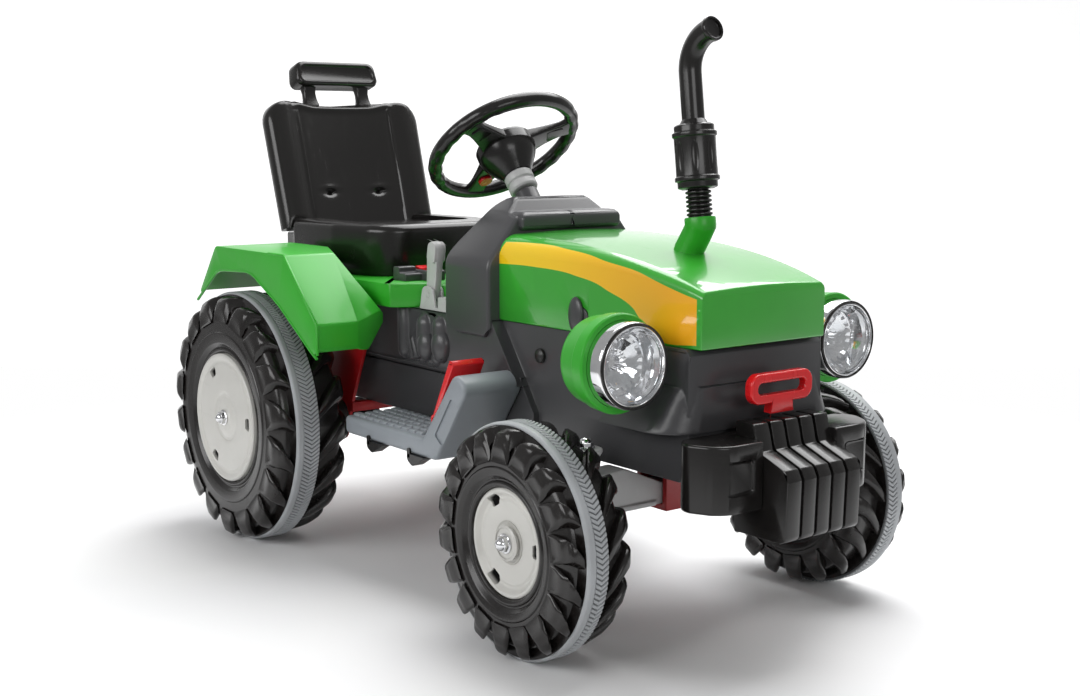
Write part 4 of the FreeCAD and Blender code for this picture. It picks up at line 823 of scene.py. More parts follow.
def running_band(end):
    """Soft band with a smooth outer margin and chevron ribs."""
    w = wheel_sizes(end)
    edge = w["edge"]
    top = w["radius"]
    floor = top - 0.0012
    middle_y = w["centre"] + Vector((0, w["shift"], 0))
    outline = [(-edge, top - 0.0038), (-edge, top - 0.0016, 0.0008), (-edge + 0.0016, floor, 0.001),
               (edge - 0.0115, floor), (edge - 0.0115, top - 0.0038)]
    ring = turned("band_ring", rounded(outline, True, 18.0), middle_y, (0, 1, 0), 144, True)
    margin = [(edge - 0.0115, top - 0.0038), (edge - 0.0115, top - 0.0006, 0.0005), (edge - 0.0085, top, 0.002),
              (edge - 0.0032, top, 0.003), (edge, top - 0.0022, 0.001), (edge, top - 0.0038)]
    border = turned("band_border", rounded(margin, True, 18.0), middle_y, (0, 1, 0), 144, True)
    near, far = edge - 0.0117, -edge + 0.0012
    middle = 0.5 * (near + far)
    lead = 0.62 * (near - middle)
    wide = 0.31 * sizes().rib_pitch
    sections = []
    for axial, along in ((near, 0.0), (middle, lead), (far, 0.0)):
        ring_points = []
        for offset, radius in ((-wide * 1.25, floor - 0.0004), (-wide * 0.85, top), (wide * 0.85, top),
                               (wide * 1.25, floor - 0.0004)):
            turn = (along + offset) / top
            spot = Vector((radius * math.sin(turn), axial, radius * math.cos(turn)))
            ring_points.append(middle_y + spot)
        sections.append(ring_points)
    rib = lofted("band_rib", sections)
    repeat_round(rib, int(2.0 * math.pi * top / sizes().rib_pitch), middle_y, (0, 1, 0))
    # Painted shade: the floor ring is marked 0 and painted dark, the margin and ribs 1.
    for part, height in ((ring, 0.0), (border, 1.0), (rib, 1.0)):
        raised_mark(part, lambda spot: height)
    smooth(border, 40.0)
    finished_pair(joined("band", [ring, border, rib]), "left", end + "_band_{}_ribbed", end + "_wheel_{}", "band_grey",
                  end + "_band_{}")


class TRACTOR_OT_tyres(bpy.types.Operator):
    """Models the four tyres with their tread bars"""
    bl_idname = "tractor.tyres"
    bl_label = "Tyres"

    def execute(self, context):
        tyre("rear", sizes().rear_lugs)
        tyre("front", sizes().front_lugs)
        return {"FINISHED"}


class TRACTOR_OT_bands(bpy.types.Operator):
    """Models the running bands with their ribs"""
    bl_idname = "tractor.bands"
    bl_label = "Running bands"

    def execute(self, context):
        running_band("rear")
        running_band("front")
        return {"FINISHED"}


def disc(end):
    """White wheel disc with a rolled lip, a shallow dish, a boss and three windows."""
    w = wheel_sizes(end)
    rim, face = w["rim"] - 0.0002, w["face"]
    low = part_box(end + "_hub_left")[0].y - w["centre"].y
    end_y = -(w["half"] - 0.009)
    dish = 0.0034 if end == "rear" else 0.0062
    outline = [(end_y, rim), (face - 0.0018, rim, 0.0012), (face, rim - 0.0022, 0.0012), (face, rim - 0.0052, 0.0016),
               (face - dish, rim - 0.0105, 0.0035), (face - dish, rim - 0.0135, 0.002),
               (face - dish + 0.0012, rim - 0.016, 0.002), (face - dish + 0.0006, 0.40 * rim, 0.02),
               (face - dish, 0.38 * rim, 0.0012), (face - dish - 0.0010, 0.365 * rim, 0.0012),
               (face - dish - 0.0010, 0.031, 0.004), (face - 0.001, 0.0205, 0.003), (face - 0.001, 0.0064),
               (low, 0.0064), (low, 0.013), (face - 0.012, 0.017), (face - 0.010, rim - 0.011, 0.004),
               (face - 0.014, rim - 0.004, 0.003), (end_y, rim - 0.004)]
    piece = turned("disc", rounded(outline, True, 18.0), w["centre"], (0, 1, 0), 96, True)
    middle = 0.5 * (rim + 0.020) + 0.16 * rim
    shape = rounded([(middle - 0.007, -0.007, 0.003), (middle + 0.006, -0.011, 0.003),
                     (middle + 0.006, 0.011, 0.003), (middle - 0.007, 0.007, 0.003)], True, 30.0)
    cutter = lofted("window", [[w["centre"] + Vector((p.x, y, p.y)) for p in shape]
                               for y in (face - 0.020, face + 0.006)])
    repeat_round(cutter, 3, w["centre"], (0, 1, 0))
    hollowed(piece, cutter)
    smooth(piece, 32.0)
    # Painted shade: points behind the face are marked 0 and painted near black.
    back = w["centre"].y + face - 0.0088
    raised_mark(piece, lambda spot: 1.0 if spot.y > back else 0.0)
    finished_pair(piece, "left", end + "_hub_{}_moulded", end + "_wheel_{}", "white_plastic", end + "_hub_{}")


class TRACTOR_OT_hubs(bpy.types.Operator):
    """Models the wheel discs and rounds their nuts"""
    bl_idname = "tractor.hubs"
    bl_label = "Wheel discs"

    def execute(self, context):
        disc("rear")
        disc("front")
        for node in ("rear_axle_nuts", "front_nuts_left", "front_nuts_right"):
            cast(node, 0.0004)
        return {"FINISHED"}


# Shells

def fender():
    """Mudguard with a slanted front that three facets bevel, a thin rib on its outer crease and a rolled lip."""
    outline = [(-130, 356, 4), (-56, 447, 12), (168, 447, 10), (259, 356, 8), (259, 306, 12), (236, 318, 20),
               (150, 372, 60), (60, 414, 80), (-50, 409, 60)]
    shell = prism("fender_right_moulded", outline, "Y", -290, -161)
    inside = prism("fender_room", [(-127, 340), (-127, 358.5, 3), (-54.5, 444, 10), (166.5, 444, 8), (255.5, 355, 6),
                                   (255.5, 280), (150, 250), (0, 250)], "Y", -287, -164)
    top_rear, top, middle = at(64, -161, 447), at(168, -210, 447), at(208, -185, 396)
    knee, foot, root = at(259, -225, 356), at(259, -225, 306), at(228, -163, 368)
    core, wall = at(0, -221, 427), 0.003
    for first, second, third in ((top_rear, top, middle), (top, knee, root), (knee, foot, root)):
        normal = (second - first).cross(third - first).normalized()
        if normal.dot(core - first) > 0.0:
            normal = -normal
        trimmed(shell, first, normal)
        trimmed(inside, first - normal * wall, normal)
    hollowed(shell, inside)
    hollowed(shell, prism("inner_cut", [(-140, 300), (-140, 370), (225, 370), (262, 352), (300, 352), (300, 300)],
                          "Y", -165, -160))
    hollowed(shell, prism("corner_cut", [(-214, 300), (-159, 354), (-159, 300)], "X", 200, 300))
    flattened(shell, 0.6)
    round_edges(shell, 0.0012, 2, 25.0)
    smooth(shell, 30.0)
    crease = rail("crease", [at(120, -289.0, 446.4), at(167, -289.2, 446.2), at(258.2, -289.2, 355.6),
                             at(258.4, -289.2, 314)], 0.0021)
    lip_spots = [at(p.x, -289.0, p.y) for p in rounded([(256, 309), (237, 319.5, 20), (150, 373.5, 60), (60, 415.5, 80),
                                                        (-50, 410.5, 60), (-127, 358)], False, 8.0)]
    lip = rail("lip", lip_spots, 0.0022)
    finished_pair(joined("fender", [shell, crease, lip]), "right", "fender_{}_moulded", "chassis", "green_plastic",
                  "fender_{}")


def saddle(inset):
    """Form of the dash, inset 0 for the outside: side outline met with the front outline."""
    low, front = (346, 450) if inset == 0 else (316, 470)
    half, top, lip = 137 - inset, 531 - inset, 511 - inset
    form = prism("dash", [(346 + inset, low), (346 + inset, 462, 40), (384, top, 34), (414, top, 12), (426, lip, 8),
                          (front, lip - 4, 6), (front, low)], "Y", -half, half)
    shoulder, knee, reach, crest = 447 - 0.5 * inset, 513 - inset, 82 - 0.7 * inset, 62 - 0.4 * inset
    arch = prism("arch", [(-half, low), (-half, shoulder, 30), (-reach, knee, 26), (-crest, top, 12), (crest, top, 12),
                          (reach, knee, 26), (half, shoulder, 30), (half, low)], "X", 296, 500)
    hollowed(form, arch, "INTERSECT")
    return form


def dash():
    """Saddle over the rear of the hood with a rounded bar across its front and the tube of the column."""
    shell = saddle(0)
    flattened(shell, 0.6, False)
    round_edges(shell, 0.0052, 4, 24.0)
    room = saddle(4.5)
    trimmed(room, at(445, 0, 0), Vector((1, 0, 0)))
    hollowed(shell, room)
    for cutter in (prism("rear_foot", [(345, 345), (345, 368), (380, 345)], "Y", -200, 200),
                   prism("front_foot", [(451, 345), (451, 360), (436, 345)], "Y", -200, 200),
                   prism("hull_room", [(341, 341), (341, 370), (450.5, 370), (450.5, 341)], "Y", -131.1, 131.1)):
        hollowed(shell, cutter)
    foot = on_column(0, 0, 0)
    axis = on_column(0, 0, 1000) - foot
    bore = [(-0.160, 0.0), (-0.160, 0.0145), (-0.070, 0.0145), (-0.070, 0.0)]
    hollowed(shell, turned("bore", bore, foot, axis, 40))
    flattened(shell, 0.6)
    smooth(shell, 40.0)
    outline = [(-0.141, 0.01205), (-0.141, 0.017), (-0.0845, 0.017, 0.001), (-0.0825, 0.0155, 0.001),
               (-0.0825, 0.01205)]
    tube = turned("tube", rounded(outline, True), foot, axis, 48, True)
    smooth(tube, 40.0)
    bar = prism("bar", [(420, 488), (420, 507), (432, 513, 8), (460, 512, 9), (460, 491, 5), (454, 488)], "Y", -86, 86)
    ends = prism("ends", [(-86, 488, 6), (-86, 513, 11), (86, 513, 11), (86, 488, 6)], "X", 418, 462)
    hollowed(bar, ends, "INTERSECT")
    hollowed(bar, prism("seam", [(440, 508), (440, 516), (463, 516), (463, 494), (459.2, 494), (459.2, 510.6)],
                        "Y", -0.7, 0.7))
    round_edges(bar, 0.003, 3, 40.0)
    smooth(bar, 45.0)
    piece = joined("dash_console_moulded", [shell, tube, bar])
    finished(piece, "chassis", "dark_grey_plastic", "dash_console")


def hull():
    """Hull with bosses in the notches of the hood, domes, a closed step on each side and a low skirt."""
    piece = cast("body_shell", 0.0018)
    extras = []
    for _, hand in SIDES:
        boss = ball(32, 16, lambda x, y, z: at(612.0 + 14.0 * x, hand * (118.0 + 5.0 * y), 392.0 + 23.0 * z))
        smooth(boss, 60.0)
        extras.append(boss)
        for dome_x, dome_z, wide, tall in ((292.0, 318.0, 17.0, 23.0), (330.0, 322.0, 19.0, 25.0)):
            dome = ball(36, 20, lambda x, y, z: at(dome_x + wide * x, hand * (131.0 + 14.0 * y), dome_z + tall * z))
            smooth(dome, 60.0)
            extras.append(dome)
        step = [(-122, 280), (-122, 286.4), (-130, 286.4), (-130, 289.6), (-119, 289.6), (-119, 280)]
        extras.append(prism("step", [(-hand * y, z) for y, z in step], "X", -70, 484))
        skirt = [(-121.8, 192), (-121.8, 216), (-118.5, 216), (-118.5, 192)]
        extras.append(prism("skirt", [(-hand * y, z) for y, z in skirt], "X", 196, 345))
    whole = joined("body_shell_moulded", [piece] + extras)
    painted(whole, finish_of("dark_grey_plastic"))


class TRACTOR_OT_shells(bpy.types.Operator):
    """Models the fenders and dash and rounds the hull, hood and deck"""
    bl_idname = "tractor.shells"
    bl_label = "Shells"

    def execute(self, context):
        hull()
        dash()
        fender()
        cast("rear_deck", sizes().shell_edge)
        hood = cast("hood", sizes().shell_edge)
        painted(hood, finish_of("hood_green"))
        return {"FINISHED"}


# Seat

def seat_front_at(y, z, half, top):
    """How far the front of the seat back stands out at a place: bolsters, seams, hollow panel and two dents."""
    across = abs(y)
    panel = 26.0 - 7.0 * (1.0 - (min(across, 86.0) / 86.0) ** 2) + 3.0 * ramp(z, top - 14.0, top - 5.0)
    bolster = 27.0 + 8.0 * ramp(across, 88.0, 114.0) - 2.0 * ramp(across, 118.0, 136.0)
    depth = panel + (bolster - panel) * ramp(across, 86.5, 89.5)
    depth += 2.0 * math.exp(-((across - 88.0) / 1.5) ** 2) - 1.2 * math.exp(-((across - 84.6) / 1.4) ** 2)
    depth -= 7.0 * math.exp(-((across - 47.0) / 9.0) ** 2 - ((z - 66.0) / 4.2) ** 2)
    depth += 1.6 * math.exp(-((across - 47.0) / 13.0) ** 2 - ((z - 74.0) / 4.0) ** 2)
    depth -= swell(half - across, 15.0, 14.0) + swell(top - z, 9.0, 8.0)
    # Lower than the top of the seat, the back stays behind the rear end of the seat.
    if 452.0 + 0.289 * depth + 0.957 * z < 482.6:
        depth = min(depth, 26.3 + 0.302 * z)
    return depth


def seat_back():
    """Leaning back of the seat, built from level sections."""
    wide, top = 145.0, 222.0
    columns = [0, 10, 20, 29, 36, 41, 45, 49, 53, 58, 65, 74, 81, 84.5, 86.6, 88, 89.4, 91.5, 96, 103, 110, 117,
               124, 130, 135, 139, 142.5, 145]
    shares = [-c / wide for c in columns[:0:-1]] + [c / wide for c in columns]
    rows = [7.5, 13, 19, 23, 28, 38, 50, 56, 60, 63, 66, 69, 72, 75, 78, 84, 96, 116, 140, 164, 180, 188, 196,
            202, 206, 210, 213, 216, 218.5, 220.5, 221.6, 222]
    sections = []
    for z in rows:
        half = wide - max(0.0, 3.0 - z / 74.0) - swell(top - z, 36.0, 34.0)
        sag = [5.5 * ramp(z, 150.0, top) * (1.0 - ramp(abs(s) * half, 50.0, 92.0)) for s in shares]
        front = [lean(seat_front_at(s * half, z, half, top), s * half, z - d) for s, d in zip(shares, sag)]
        back = [lean(swell(half - abs(s * half), 7.0, 6.0) + swell(top - z, 7.0, 6.0), s * half, z - d)
                for s, d in zip(shares[::-1], sag[::-1])]
        sections.append(front + back)
    piece = lofted("seat_back_moulded", sections)
    smooth(piece, 60.0)
    finished(piece, "chassis", "black_plastic", "seat_back")


def headrest():
    """Bar with a sunk front panel on two flared posts."""
    def ring(x, inset, sunk=0.0):
        shape = rounded([(-79 + inset, 250 + inset, 11 - sunk), (-74 + inset, 292 - inset, 13 - sunk),
                         (74 - inset, 292 - inset, 13 - sunk), (79 - inset, 250 + inset, 11 - sunk)], True, 18.0)
        return [lean(x, p.x, p.y) for p in shape]

    bar = lofted("headrest_bar", [ring(-8, 4.5), ring(-7, 2), ring(-4, 0.4), ring(0, 0), ring(21, 0), ring(25, 1),
                                  ring(27.4, 3.2), ring(28, 5.5), ring(28, 6.8), ring(27.2, 7.6),
                                  ring(25.6, 8.4, 4), ring(25.0, 9.6, 5)])
    smooth(bar, 55.0)
    posts = []
    for hand in (-1, 1):
        sections = []
        for z, wide, near, far in ((219, 14.5, 1, 16), (225, 12.5, 1.5, 15.5), (231, 11.5, 2, 15),
                                   (240, 11, 2, 15), (247, 12, 1.5, 16), (254, 13.5, 0.5, 17)):
            shape = rounded([(near, -wide, 4), (far, -wide, 4), (far, wide, 4), (near, wide, 4)], True, 30.0)
            sections.append([lean(p.x, hand * 51.0 + p.y, z) for p in shape])
        post = lofted("post", sections)
        smooth(post, 50.0)
        posts.append(post)
    piece = joined("headrest_moulded", [bar] + posts)
    finished(piece, "chassis", "black_plastic", "headrest")


class TRACTOR_OT_seat(bpy.types.Operator):
    """Models the seat back and headrest and rounds the seat"""
    bl_idname = "tractor.seat"
    bl_label = "Seat"

    def execute(self, context):
        cast("seat_base", 0.003, 3)
        seat_back()
        headrest()
        return {"FINISHED"}


# Front end

class TRACTOR_OT_front_end(bpy.types.Operator):
    """Rounds the bumper, weights, tow handle and front axle"""
    bl_idname = "tractor.front_end"
    bl_label = "Front end"

    def execute(self, context):
        cast("front_bumper", sizes().shell_edge)
        weights = cast("front_weights", 0.0018)
        low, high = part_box("front_weights")
        bottom, tall = 0.155, 0.132
        edit(weights)
        form = bmesh.from_edit_mesh(weights.data)
        for vert in form.verts:
            vert.co.z = bottom + (vert.co.z - low.z) * tall / (high.z - low.z)
            vert.co.x = min(vert.co.x, high.x)
        bmesh.update_edit_mesh(weights.data)
        leave()
        cast("tow_handle", 0.0005)
        cast("front_axle_beam", sizes().shell_edge)
        return {"FINISHED"}


# Footrests

def footrests():
    """Steps with brick-pattern pads and a rounded slanted stop with a sunk panel."""
    form = prism("step", [(200, 187, 8), (200, 213, 6), (405, 213, 4), (483, 313, 15), (512, 293, 15), (437, 187, 12)],
                 "Y", -215, -122)
    outward(form)
    round_edges(form, 0.006, 4, 40.0)
    hollowed(form, prism("room", [(204, 150), (204, 209, 4), (403, 209, 4), (481, 308, 10), (506, 291, 10), (428, 177)],
                         "Y", -211, -126))
    hollowed(form, prism("hull_room", [(190, 287.7), (190, 400), (530, 400), (530, 287.7)], "Y", -131.3, -120))
    hollowed(form, prism("panel", [(436, 222, 4), (475, 277, 4), (492, 268, 4), (452, 210, 4)], "Y", -217, -212.6))
    flattened(form, 0.4)
    smooth(form, 32.0)
    pieces = [form]
    for i in range(10):
        for j in range(5):
            x, y = 213.0 + 18.5 * i + 4.6 * (j % 2), -198.0 + 15.8 * j
            sections = []
            for z, wide, deep in ((212.6, 7.9, 6.4), (214.4, 7.7, 6.2), (215.8, 6.9, 5.5), (216.4, 5.4, 4.2)):
                corner = [(-wide, -deep, 2.6), (wide, -deep, 2.6), (wide, deep, 2.6), (-wide, deep, 2.6)]
                sections.append([at(x + p.x, y + p.y, z) for p in rounded(corner, True, 45.0)])
            pad = lofted("pad", sections)
            smooth(pad, 40.0)
            pieces.append(pad)
    for x in (230, 350):
        pieces.append(prism("arm", [(x, 197), (x, 211.4), (x + 30, 211.4), (x + 30, 197)], "Y", -127, -70))
    whole = joined("footrest", pieces)
    outward(whole)
    finished_pair(whole, "right", "footrest_{}_moulded", "chassis", "step_grey_plastic", "footrest_{}")


def clips():
    """Four clips that hold the steps from below."""
    pieces = []
    for x in (266, 372):
        hook = prism("hook", [(x, 187), (x, 178, 8), (x + 14, 171, 9), (x + 40, 185), (x + 40, 187)], "Y", -218, -203)
        tab = prism("tab", [(x, 182), (x, 195, 3), (x + 7, 195, 3), (x + 7, 182)], "Y", -218, -215.2)
        for part in (hook, tab):
            smooth(part, 40.0)
            pieces += [part, mirror_of(part, "clip")]
    piece = joined("footrest_hooks_moulded", pieces)
    finished(piece, "chassis", SLOT_OF["footrest_hooks"], "footrest_hooks")


class TRACTOR_OT_footrests(bpy.types.Operator):
    """Models the footrests and their clips and rounds the pedal"""
    bl_idname = "tractor.footrests"
    bl_label = "Footrests"

    def execute(self, context):
        footrests()
        clips()
        cast("accelerator_pedal", 0.0012)
        return {"FINISHED"}


# Headlights

def lamp_place(side):
    """Middle of a lamp on its axis, the front of its ring and the radius of the ring."""
    low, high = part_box("headlight_reflector_" + side)
    centre = 0.5 * (low + high)
    centre.x = 0.0
    return centre, high.x, 0.5 * (high.z - low.z)


def headlight(side):
    """Chrome ring with a pleated bowl, thin dark trim ring and thin domed lens."""
    centre, f, r = lamp_place(side)
    lens_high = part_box("headlight_lens_" + side)[1]
    rim = r - 0.0054
    outline = [(f - 0.044, r - 0.001), (f - 0.0425, r, 0.001), (f - 0.0052, r, 0.003), (f - 0.0034, r - 0.0012, 0.001),
               (f - 0.0034, r - 0.0036, 0.001), (f - 0.0004, r - 0.0046, 0.001), (f - 0.0008, rim - 0.0006, 0.0012),
               (f - 0.010, rim - 0.0022), (f - 0.012, r - 0.003), (f - 0.044, r - 0.003)]
    ring = turned("lamp_ring", rounded(outline, True, 18.0), centre, (1, 0, 0), 96, True)
    smooth(ring, 40.0)
    sections = []
    pleats = 44
    for x, wide, wave in ((f - 0.047, 0.004, 0.0), (f - 0.046, 0.016, 0.0), (f - 0.026, 0.040, 0.0),
                          (f - 0.0095, 0.0436, 0.0), (f - 0.0090, 0.0424, 0.0), (f - 0.0120, 0.0400, 0.0),
                          (f - 0.0210, 0.0352, 0.0), (f - 0.0260, 0.0335, 0.0), (f - 0.0255, 0.0318, 0.0),
                          (f - 0.0290, 0.0280, 0.0016), (f - 0.0310, 0.0240, -0.0017), (f - 0.0335, 0.0200, 0.0018),
                          (f - 0.0355, 0.0160, -0.0017), (f - 0.0375, 0.0122, 0.0014), (f - 0.0395, 0.0086, -0.0009),
                          (f - 0.0440, 0.0062, 0.0), (f - 0.0445, 0.0012, 0.0)):
        points = []
        for k in range(pleats):
            turn = 2.0 * math.pi * k / pleats
            deep = x + (wave if k % 2 else -wave)
            points.append(Vector((deep, centre.y + wide * math.cos(turn), centre.z + wide * math.sin(turn))))
        sections.append(points)
    bowl = lofted("lamp_bowl", sections)
    smooth(bowl, 8.0)
    piece = joined("headlight_reflector_%s_plated" % side, [ring, bowl])
    finished(piece, "chassis", "chrome", "headlight_reflector_" + side)
    outline = [(f - 0.0030, r - 0.0012), (f - 0.0016, r - 0.0006, 0.0006), (f - 0.0002, r - 0.0018, 0.0008),
               (f - 0.0006, r - 0.0040, 0.0005), (f - 0.0030, r - 0.0034)]
    trim = turned("headlight_trim_" + side, rounded(outline, True, 30.0), centre, (1, 0, 0), 96, True)
    smooth(trim, 50.0)
    finished(trim, "chassis", "black_plastic")
    dome = lens_high.x - f
    outer = [(f - 0.0046, rim - 0.0004), (f - 0.0022, rim - 0.0006, 0.0008), (f + 0.4 * dome, rim - 0.014, 0.04)]
    outline = [(f + dome, 0.0)] + outer[::-1] + [(f - 0.0046, rim - 0.0022), (f - 0.0026, rim - 0.006, 0.004),
                                                (f + 0.4 * dome - 0.0014, rim - 0.018, 0.04), (f + dome - 0.0014, 0.0)]
    lens = turned("headlight_lens_%s_clear" % side, rounded(outline, False, 6.0), centre, (1, 0, 0), 96)
    smooth(lens, 40.0)
    finished(lens, "chassis", "clear_lens", "headlight_lens_" + side)


def bell(side, hand):
    """Green bell behind a lamp, with a stepped lip and the boss that stands on the hull."""
    centre, f, _ = lamp_place(side)
    mouth, back = f - 0.026, f - 0.098
    outline = [(back, 0.0), (back, 0.030, 0.012), (back + 0.026, 0.0515, 0.022), (mouth - 0.020, 0.0556, 0.004),
               (mouth - 0.0185, 0.0572, 0.001), (mouth - 0.002, 0.0585, 0.001), (mouth, 0.0565, 0.001), (mouth, 0.0509),
               (back + 0.050, 0.0509), (back + 0.032, 0.046, 0.012), (back + 0.006, 0.026, 0.008), (back + 0.006, 0.0)]
    form = turned("bell", rounded(outline, False, 10.0), centre, (1, 0, 0), 96)
    smooth(form, 35.0)
    rings = [circle(Vector((f - 0.049, hand * y, 0.350)), AHEAD, UP, radius, 28)
             for y, radius in ((0.110, 0.017), (0.116, 0.0145), (0.142, 0.014))]
    boss = lofted("boss", rings)
    smooth(boss, 40.0)
    piece = joined("headlight_bucket_%s_moulded" % side, [form, boss])
    finished(piece, "chassis", "green_plastic", "headlight_bucket_" + side)


class TRACTOR_OT_headlights(bpy.types.Operator):
    """Models the lamp bells, rings, bowls and lenses"""
    bl_idname = "tractor.headlights"
    bl_label = "Headlights"

    def execute(self, context):
        for side, hand in SIDES:
            bell(side, hand)
            headlight(side)
        return {"FINISHED"}


# Exhaust

def on_stack_turned(name, outline, closed=True, step=18.0):
    """Form spun about the exhaust line from a section of (height, radius) in millimetres."""
    foot = on_stack(0, 0, 0)
    axis = on_stack(0, 0, 1000) - foot
    outline = rounded(metres(outline), closed, step)
    return turned(name, outline, foot, axis, 72, closed)


def muffler():
    """Ringed can with eight long dimples, and a pipe that bends forward to a sunk end."""
    low, high, r = 43.6, 123.6, 26.0
    can = on_stack_turned("can", [
        (low, 9), (low, r - 6), (low + 2, r - 1, 2), (low + 9.5, r - 1, 1), (low + 10.5, r + 2, 1),
        (low + 15, r + 2, 1.4), (low + 16.5, r, 1), (high - 16.5, r, 1), (high - 15, r + 2, 1.4),
        (high - 10.5, r + 2, 1), (high - 9.5, r - 1, 1), (high - 2, r - 1, 2), (high, r - 5, 2), (high, 18, 1),
        (high + 6, 14.3, 3), (high + 8, 9)])
    cutter = ball(20, 12, lambda x, y, z: on_stack(26.6 + 2.6 * x, 5.2 * y, 0.5 * (low + high) + 19.5 * z))
    repeat_round(cutter, 8, on_stack(0, 0, 0), on_stack(0, 0, 1000) - on_stack(0, 0, 0))
    hollowed(can, cutter)
    smooth(can, 35.0)
    straight, bend = high + 62.0, 46.0

    def ring(turn, ahead, radius):
        """Circle across the pipe, at an angle of the bend and a distance past it."""
        points = []
        for k in range(28):
            a = 2.0 * math.pi * k / 28
            x, y = radius * math.cos(a), radius * math.sin(a)
            reach = bend - x
            points.append(on_stack(bend - reach * math.cos(turn) + ahead * math.sin(turn), y,
                                   straight + reach * math.sin(turn) + ahead * math.cos(turn)))
        return points

    sections = [ring(0.0, high - straight, 14.3), ring(0.0, -20.0, 14.3)]
    end = math.radians(78.0)
    sections += [ring(end * k / 14.0, 0.0, 14.3) for k in range(15)]
    sections += [ring(end, ahead, radius) for ahead, radius in (
        (2.0, 14.3), (3.4, 14.4), (4.0, 15.0), (4.6, 15.5), (9.4, 15.5), (10.0, 15.0), (10.2, 13.4),
        (9.8, 12.6), (6.0, 12.2), (5.6, 11.6), (5.6, 4.0))]
    pipe = lofted("pipe", sections)
    smooth(pipe, 40.0)
    piece = joined("exhaust_stack_moulded", [can, pipe])
    finished(piece, "chassis", "black_plastic", "exhaust_stack")


def bellows():
    """Six soft folds between the elbow and the can."""
    outline = [(3, 9), (3, 14.2), (10.2, 14.2)]
    for i in range(6):
        z = 10.2 + i * 5.4
        outline += [(z + 0.3, 13.0, 0.5), (z + 1.5, 16.2, 0.9), (z + 3.9, 16.2, 0.9), (z + 5.1, 13.0, 0.5)]
    piece = on_stack_turned("exhaust_bellows_moulded", outline + [(43.6, 13.0), (43.6, 9)], True, 25.0)
    smooth(piece, 45.0)
    finished(piece, "chassis", "black_plastic", "exhaust_bellows")


def elbow():
    """Green tube that rises from the hood, bends twice and ends in a collar round the bellows."""
    top = on_stack(0, 0, -2)
    rise = (on_stack(0, 0, 10) - top).normalized()
    knee = at(691, 0, 474)
    middle = (top - knee).normalized()
    foot = Vector((0.28, 0.0, 0.96)).normalized()

    def ring(spot, along, radius):
        return circle(spot, along.cross(ACROSS).normalized(), ACROSS, radius / 1000.0, 40)

    lean_in = (foot + middle).normalized()
    lean_out = (middle + rise).normalized()
    sections = [ring(knee - foot * back, foot, radius)
                for back, radius in ((0.034, 26.0), (0.020, 23.0), (0.009, 19.6))]
    sections += [ring(knee, lean_in, 18.9), ring(knee + middle * 0.012, middle, 18.7),
                 ring(top - middle * 0.010, middle, 18.7), ring(top - middle * 0.002, lean_out, 18.9),
                 ring(top - rise * 0.001, (lean_out + rise).normalized(), 19.2)]
    sections += [ring(top + rise * up, rise, radius) for up, radius in (
        (0.0004, 19.5), (0.0095, 19.5), (0.0112, 18.9), (0.0114, 17.8), (0.0104, 14.6), (0.0040, 14.4))]
    piece = lofted("exhaust_elbow_moulded", sections)
    smooth(piece, 30.0)
    finished(piece, "chassis", "green_plastic", "exhaust_elbow")


class TRACTOR_OT_exhaust(bpy.types.Operator):
    """Models the elbow, bellows and stack"""
    bl_idname = "tractor.exhaust"
    bl_label = "Exhaust"

    def execute(self, context):
        elbow()
        bellows()
        muffler()
        return {"FINISHED"}


# Controls

RIM_RADIUS, RIM_THICK = 106.0, 10.6
COVERED_SPOKES, PLAIN_SPOKE = (60.0, -60.0), 180.0


def on_spoke(turn, reach, aside, z):
    """Point of a spoke in millimetres: outward from the hub, aside from the spoke's middle and up the column."""
    return on_column(reach * math.cos(turn) - aside * math.sin(turn),
                     reach * math.sin(turn) + aside * math.cos(turn), z)


def steering_wheel():
    """Rim with finger grips, bell under the hub and three broad spokes."""
    deselect()
    bpy.ops.mesh.primitive_torus_add(major_segments=216, minor_segments=18, major_radius=RIM_RADIUS,
                                     minor_radius=RIM_THICK)
    rim = bpy.context.object

    def gripped(x, y, z):
        around = math.atan2(y, x)
        out = math.hypot(x, y) - RIM_RADIUS
        under = ramp(-z + 0.5 * abs(out), -4.0, 7.0)
        zone = ramp(abs(math.sin(around)), 0.45, 0.62)
        fall = 1.0 - 0.10 * under * zone * (0.5 + 0.5 * math.cos(around * 26.0))
        reach = RIM_RADIUS + out * fall
        return on_column(reach * math.cos(around), reach * math.sin(around), z * fall)

    moved(rim, gripped)
    smooth(rim, 60.0)
    foot = on_column(0, 0, 0)
    outline = [(7, 6.1), (7, 34, 2), (5.5, 37, 2), (5.5, 40, 4), (1, 43.4, 4), (-13, 43.4, 5), (-25, 39.6, 40),
               (-44, 26.5, 4), (-51.8, 21.5), (-51.8, 6.1)]
    bell = turned("bell", rounded(metres(outline), True, 12.0), foot, on_column(0, 0, 1000) - foot, 96, True)
    smooth(bell, 35.0)
    pieces = [rim, bell]
    for angle in COVERED_SPOKES + (PLAIN_SPOKE,):
        turn = math.radians(angle)
        sections = []
        for reach, wide, low, high in ((36, 22, -13, 3.5), (48, 19, -11, 3.5), (60, 17, -9, 3.2),
                                       (74, 15, -8, 3), (86, 14, -7.6, 3), (95, 15.5, -7.4, 3.2), (103, 19, -7, 4)):
            shape = rounded([(-wide, low, 3.2), (wide, low, 3.2), (wide, high, 3.2), (-wide, high, 3.2)], True, 30.0)
            sections.append([on_spoke(turn, reach, p.x, p.y) for p in shape])
        spoke = lofted("spoke", sections)
        if angle == PLAIN_SPOKE:
            hole = on_column(-68, 0, 0)
            axis = on_column(-68, 0, 1) - hole
            cutter = turned("hole", [(-0.03, 0.0), (-0.03, 0.0083), (0.03, 0.0083), (0.03, 0.0)], hole, axis, 32)
            hollowed(spoke, cutter)
        smooth(spoke, 50.0)
        pieces.append(spoke)
    piece = joined("steering_wheel_moulded", pieces)
    finished(piece, "steering", "black_plastic", "steering_wheel")


